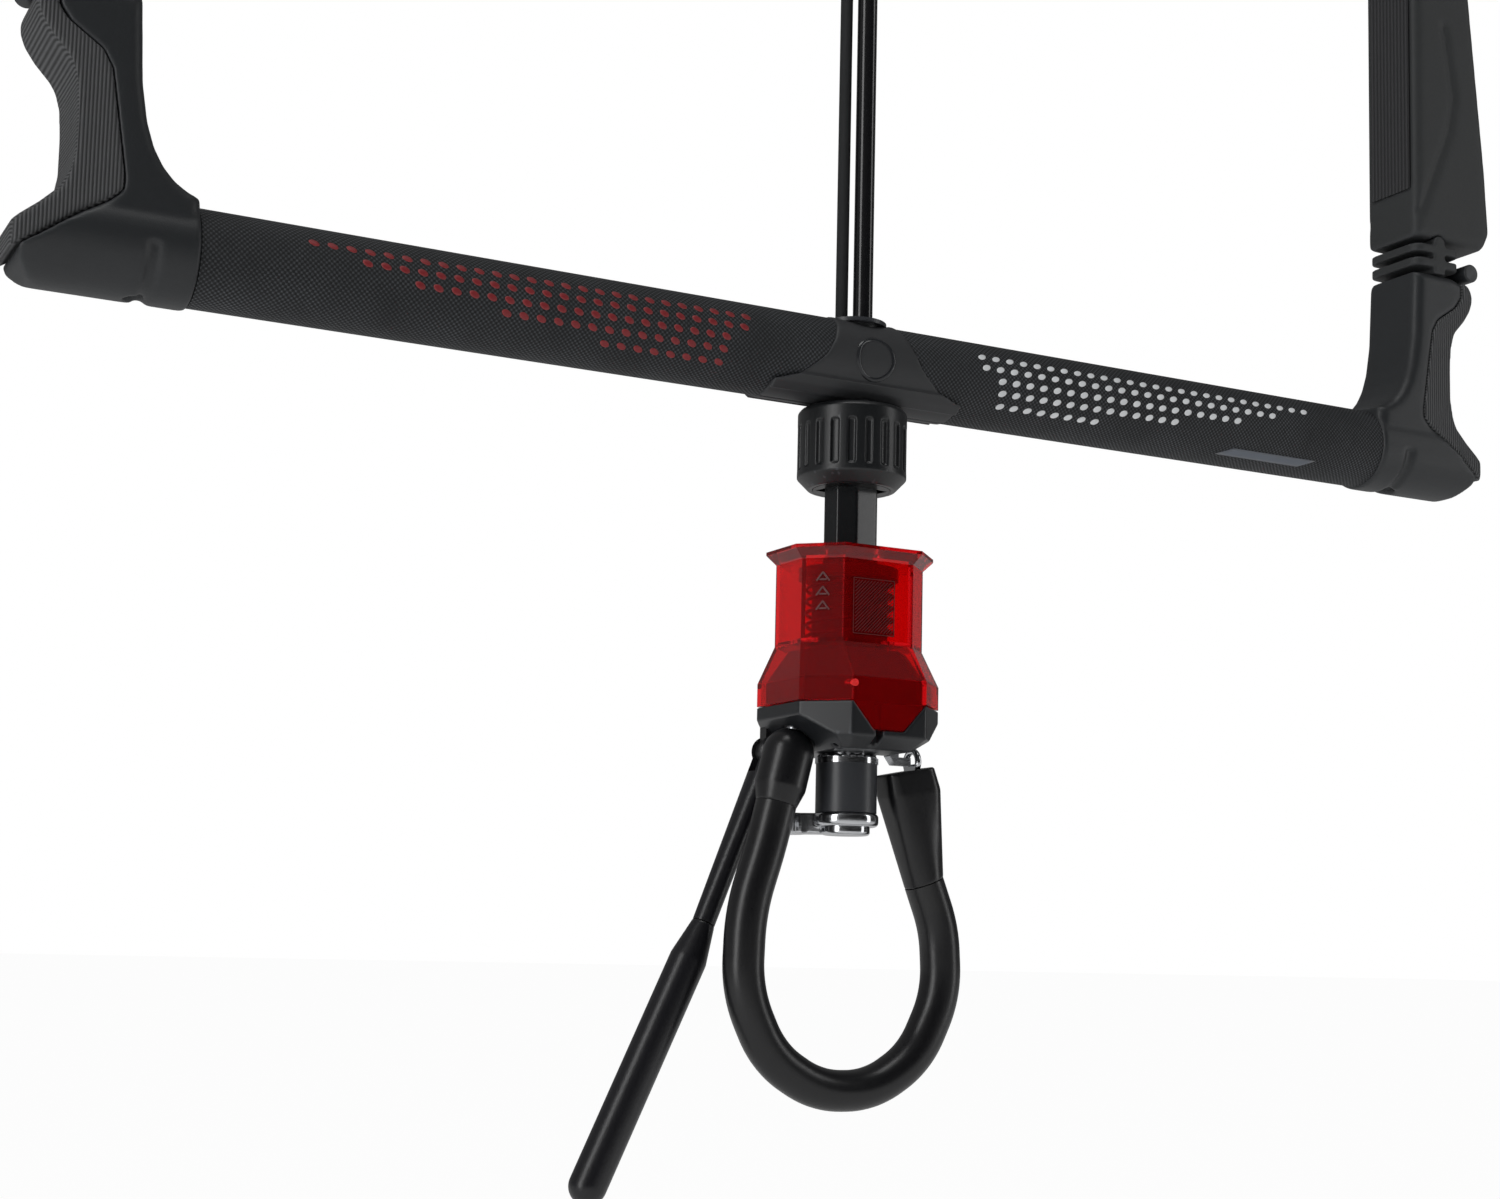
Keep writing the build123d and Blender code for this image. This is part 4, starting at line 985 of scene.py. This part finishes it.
# %% Dot on the knob
KNOB_R = 17.0
dot_low, dot_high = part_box("index_dot")
dot_middle = (Vector(dot_low) + Vector(dot_high)) / 2
dot_out = Vector((dot_middle.x, dot_middle.y, 0)).normalized()
dot_level = Vector((-dot_out.y, dot_out.x, 0))
verts, faces = [], []
for reach, lift in ((1.35, -0.4), (1.3, 0.15), (0.8, 0.32)):
    for step in range(DOT_STEPS):
        turn = 2 * pi * step / DOT_STEPS
        edge = dot_level * (reach * cos(turn)) + Vector((0, 0, reach * sin(turn)))
        centre = Vector((0, 0, dot_middle.z)) + dot_out * (KNOB_R + lift) * MM
        verts.append(centre + edge * MM)
verts.append(Vector((0, 0, dot_middle.z)) + dot_out * (KNOB_R + 0.4) * MM)
for ring in (0, 1):
    for step in range(DOT_STEPS):
        a = ring * DOT_STEPS + step
        b = ring * DOT_STEPS + (step + 1) % DOT_STEPS
        faces.append((a, b, b + DOT_STEPS, a + DOT_STEPS))
for step in range(DOT_STEPS):
    faces.append((2 * DOT_STEPS + step, 2 * DOT_STEPS + (step + 1) % DOT_STEPS, 3 * DOT_STEPS))
knob_dot = new_piece("knob_dot", verts, faces, "lines", dot_white)
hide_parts("index_dot")

# %% [markdown]
# The right grip carries a plain slate-coloured plate low on its front, with slanted ends. It is a
# strip of the grip's own round surface, lifted a little and closed at its rim.

# %% Plate on the right grip
PLATE_STEPS = 24
PLATE_ANGLES = (-59.5, -55.9, -52.3, -48.7, -45.1)
PLATE_START = 138
PLATE_LENGTH = 36
PLATE_SLANT = 1.5
verts, faces = [], []
for lift, grow in ((-0.05, 0.0), (0.22, -0.25)):
    for row, angle in enumerate(PLATE_ANGLES):
        slant = PLATE_SLANT * row
        for step in range(PLATE_STEPS + 1):
            x = PLATE_START + slant - grow + (PLATE_LENGTH + 2 * grow) * step / PLATE_STEPS
            verts.append(on_grip(x, angle + (grow if row == 0 else 0), lift))
layer = 5 * (PLATE_STEPS + 1)
for row in range(4):
    for step in range(PLATE_STEPS):
        a = layer + row * (PLATE_STEPS + 1) + step
        faces.append((a, a + 1, a + PLATE_STEPS + 2, a + PLATE_STEPS + 1))
rim = list(range(PLATE_STEPS + 1))
rim += [row * (PLATE_STEPS + 1) + PLATE_STEPS for row in range(1, 5)]
rim += [4 * (PLATE_STEPS + 1) + step for step in range(PLATE_STEPS - 1, -1, -1)]
rim += [row * (PLATE_STEPS + 1) for row in range(3, 0, -1)]
for here, there in zip(rim, rim[1:] + rim[:1]):
    faces.append((here, there, there + layer, here + layer))
new_piece("grip_plate", verts, faces, "bar", plate_grey)

# %% [markdown]
# A plain ring stands on the front of the insert. The cover there is a freeform surface, so each
# point of the ring is found by a ray that runs from the front onto the cover.

# %% Ring on the insert
RING_R = 6.3
RING_STEPS = 64
RING_Z = -0.6
IN_FRONT = -60
cover_node = nodes["front_cover"]
bpy.context.view_layer.update()


def on_cover(x, z, lift):
    """Point of the front cover straight behind a place in front of it."""
    struck, place = cover_node.ray_cast(spot(x, IN_FRONT, z), Vector((0, 1, 0)))[:2]
    assert struck, (x, z)
    return place + Vector((0, -lift * MM, 0))


verts, faces = [], []
for step in range(RING_STEPS):
    turn = 2 * pi * step / RING_STEPS
    for offset, lift in ((-0.75, -0.1), (-0.35, 0.35), (0.35, 0.35), (0.75, -0.1)):
        radius = RING_R + offset
        verts.append(on_cover(radius * cos(turn), radius * sin(turn) + RING_Z, lift))
for step in range(RING_STEPS):
    a, b = 4 * step, 4 * ((step + 1) % RING_STEPS)
    for edge in range(3):
        faces.append((a + edge, a + edge + 1, b + edge + 1, b + edge))
new_piece("insert_ring", verts, faces, "bar", post_black)

# %% [markdown]
# The sleeve's front has a framed, hatched window, and its slanting facet beside it has three
# raised arrowheads that show which way to push. Both are drawn as thin strips on a facet. A facet
# is given by its middle, its level direction and the direction it looks.

# %% Marks on the sleeve


def strips(lines, middle, level_way, outward, width, lift):
    """Raised strips between pairs of points drawn on a facet, in millimetres."""
    verts, faces = [], []
    upright = Vector((0, 0, 1))
    for (x0, z0), (x1, z1) in lines:
        run = Vector((x1 - x0, z1 - z0)).normalized()
        side_x, side_z = -run.y * width / 2, run.x * width / 2
        start = len(verts)
        for height, share in ((-0.15, 1.0), (lift, 0.7)):
            corners = (
                (x0 + side_x * share, z0 + side_z * share),
                (x0 - side_x * share, z0 - side_z * share),
                (x1 - side_x * share, z1 - side_z * share),
                (x1 + side_x * share, z1 + side_z * share),
            )
            for x, z in corners:
                verts.append(middle + (x * level_way + z * upright + height * outward) * MM)
        faces.append((start + 4, start + 5, start + 6, start + 7))
        for edge in range(4):
            after = (edge + 1) % 4
            faces.append((start + edge, start + after, start + 4 + after, start + 4 + edge))
    return verts, faces


FACET_AWAY = Vector((-9.4, -9.4, 0)).normalized()
FACET_LEVEL = Vector((9.4, -9.4, 0)).normalized()
ARROWS_AT = spot(-16.8, -12.8, -72)
ARROW_TOP = 3.6
ARROW_STEP = 4.4
arrowheads = []
for step in range(3):
    foot = ARROW_TOP - ARROW_STEP * step
    arrowheads += [((-2.0, foot - 2.6), (0.0, foot)), ((2.0, foot - 2.6), (0.0, foot))]
    arrowheads += [((-1.1, foot - 2.2), (1.1, foot - 2.2))]
verts, faces = strips(arrowheads, ARROWS_AT, FACET_LEVEL, FACET_AWAY, 0.55, 0.35)
new_piece("sleeve_arrows", verts, faces, "sleeve", sleeve_ink, smooth=False)

WINDOW_AT = spot(-1.2, -17.5, -78)
HATCH = 1.1
MARGIN = 0.6
left, right, low, high = -7.6, 6.6, -8.6, 8.2
hatching = [((left, low), (right, low)), ((right, low), (right, high))]
hatching += [((right, high), (left, high)), ((left, high), (left, low))]
for count in range(-14, 16):
    shift = count * HATCH
    points = []
    for x in (left + MARGIN, right - MARGIN):
        z = x + shift
        if low + MARGIN <= z <= high - MARGIN:
            points.append((x, z))
    for z in (low + MARGIN, high - MARGIN):
        x = z - shift
        if left + MARGIN < x < right - MARGIN:
            points.append((x, z))
    if len(points) == 2:
        hatching.append((points[0], points[1]))
verts, faces = strips(
    hatching, WINDOW_AT, Vector((1, 0, 0)), Vector((0, -1, 0)), 0.32, 0.16
)
new_piece("sleeve_window", verts, faces, "sleeve", sleeve_ink, smooth=False)

# %% [markdown]
# The return spring sits round the column inside the sleeve and is pressed together when the
# sleeve is pushed up. The coil is wound here as a helix of wire, and it rides with the release.

# %% Return spring
COIL_TURNS = 5
COIL_STEPS = 40
WIRE_R = 0.6
END_GAP = 0.65
coil_low, coil_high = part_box("return_spring")
coil_radius = (coil_high[0] - coil_low[0]) / 2 - WIRE_R * MM
coil_bottom = coil_low[2] + END_GAP * MM
coil_rise = coil_high[2] - coil_low[2] - 2 * END_GAP * MM
wire = bpy.data.curves.new("coil_wire", "CURVE")
wire.dimensions = "3D"
wire.bevel_depth = WIRE_R * MM
wire.bevel_resolution = 2
wire.use_fill_caps = True
winding = wire.splines.new("POLY")
winding.points.add(COIL_TURNS * COIL_STEPS)
for index, point in enumerate(winding.points):
    turn = 2 * pi * index / COIL_STEPS
    share = index / (COIL_TURNS * COIL_STEPS)
    height = coil_bottom + coil_rise * share
    point.co = (coil_radius * cos(turn), coil_radius * sin(turn), height, 1)
former = bpy.data.objects.new("coil_former", wire)
coil_mesh = bpy.data.meshes.new_from_object(former)
bpy.data.objects.remove(former)
coil_mesh.materials.clear()
coil_mesh.materials.append(dark_spring)
for face in coil_mesh.polygons:
    face.use_smooth = True
coil = bpy.data.objects.new("return_coil", coil_mesh)
bpy.context.scene.collection.objects.link(coil)
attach(coil, "release")
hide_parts("return_spring")
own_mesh(coil)
print("coil of", COIL_TURNS, "turns")
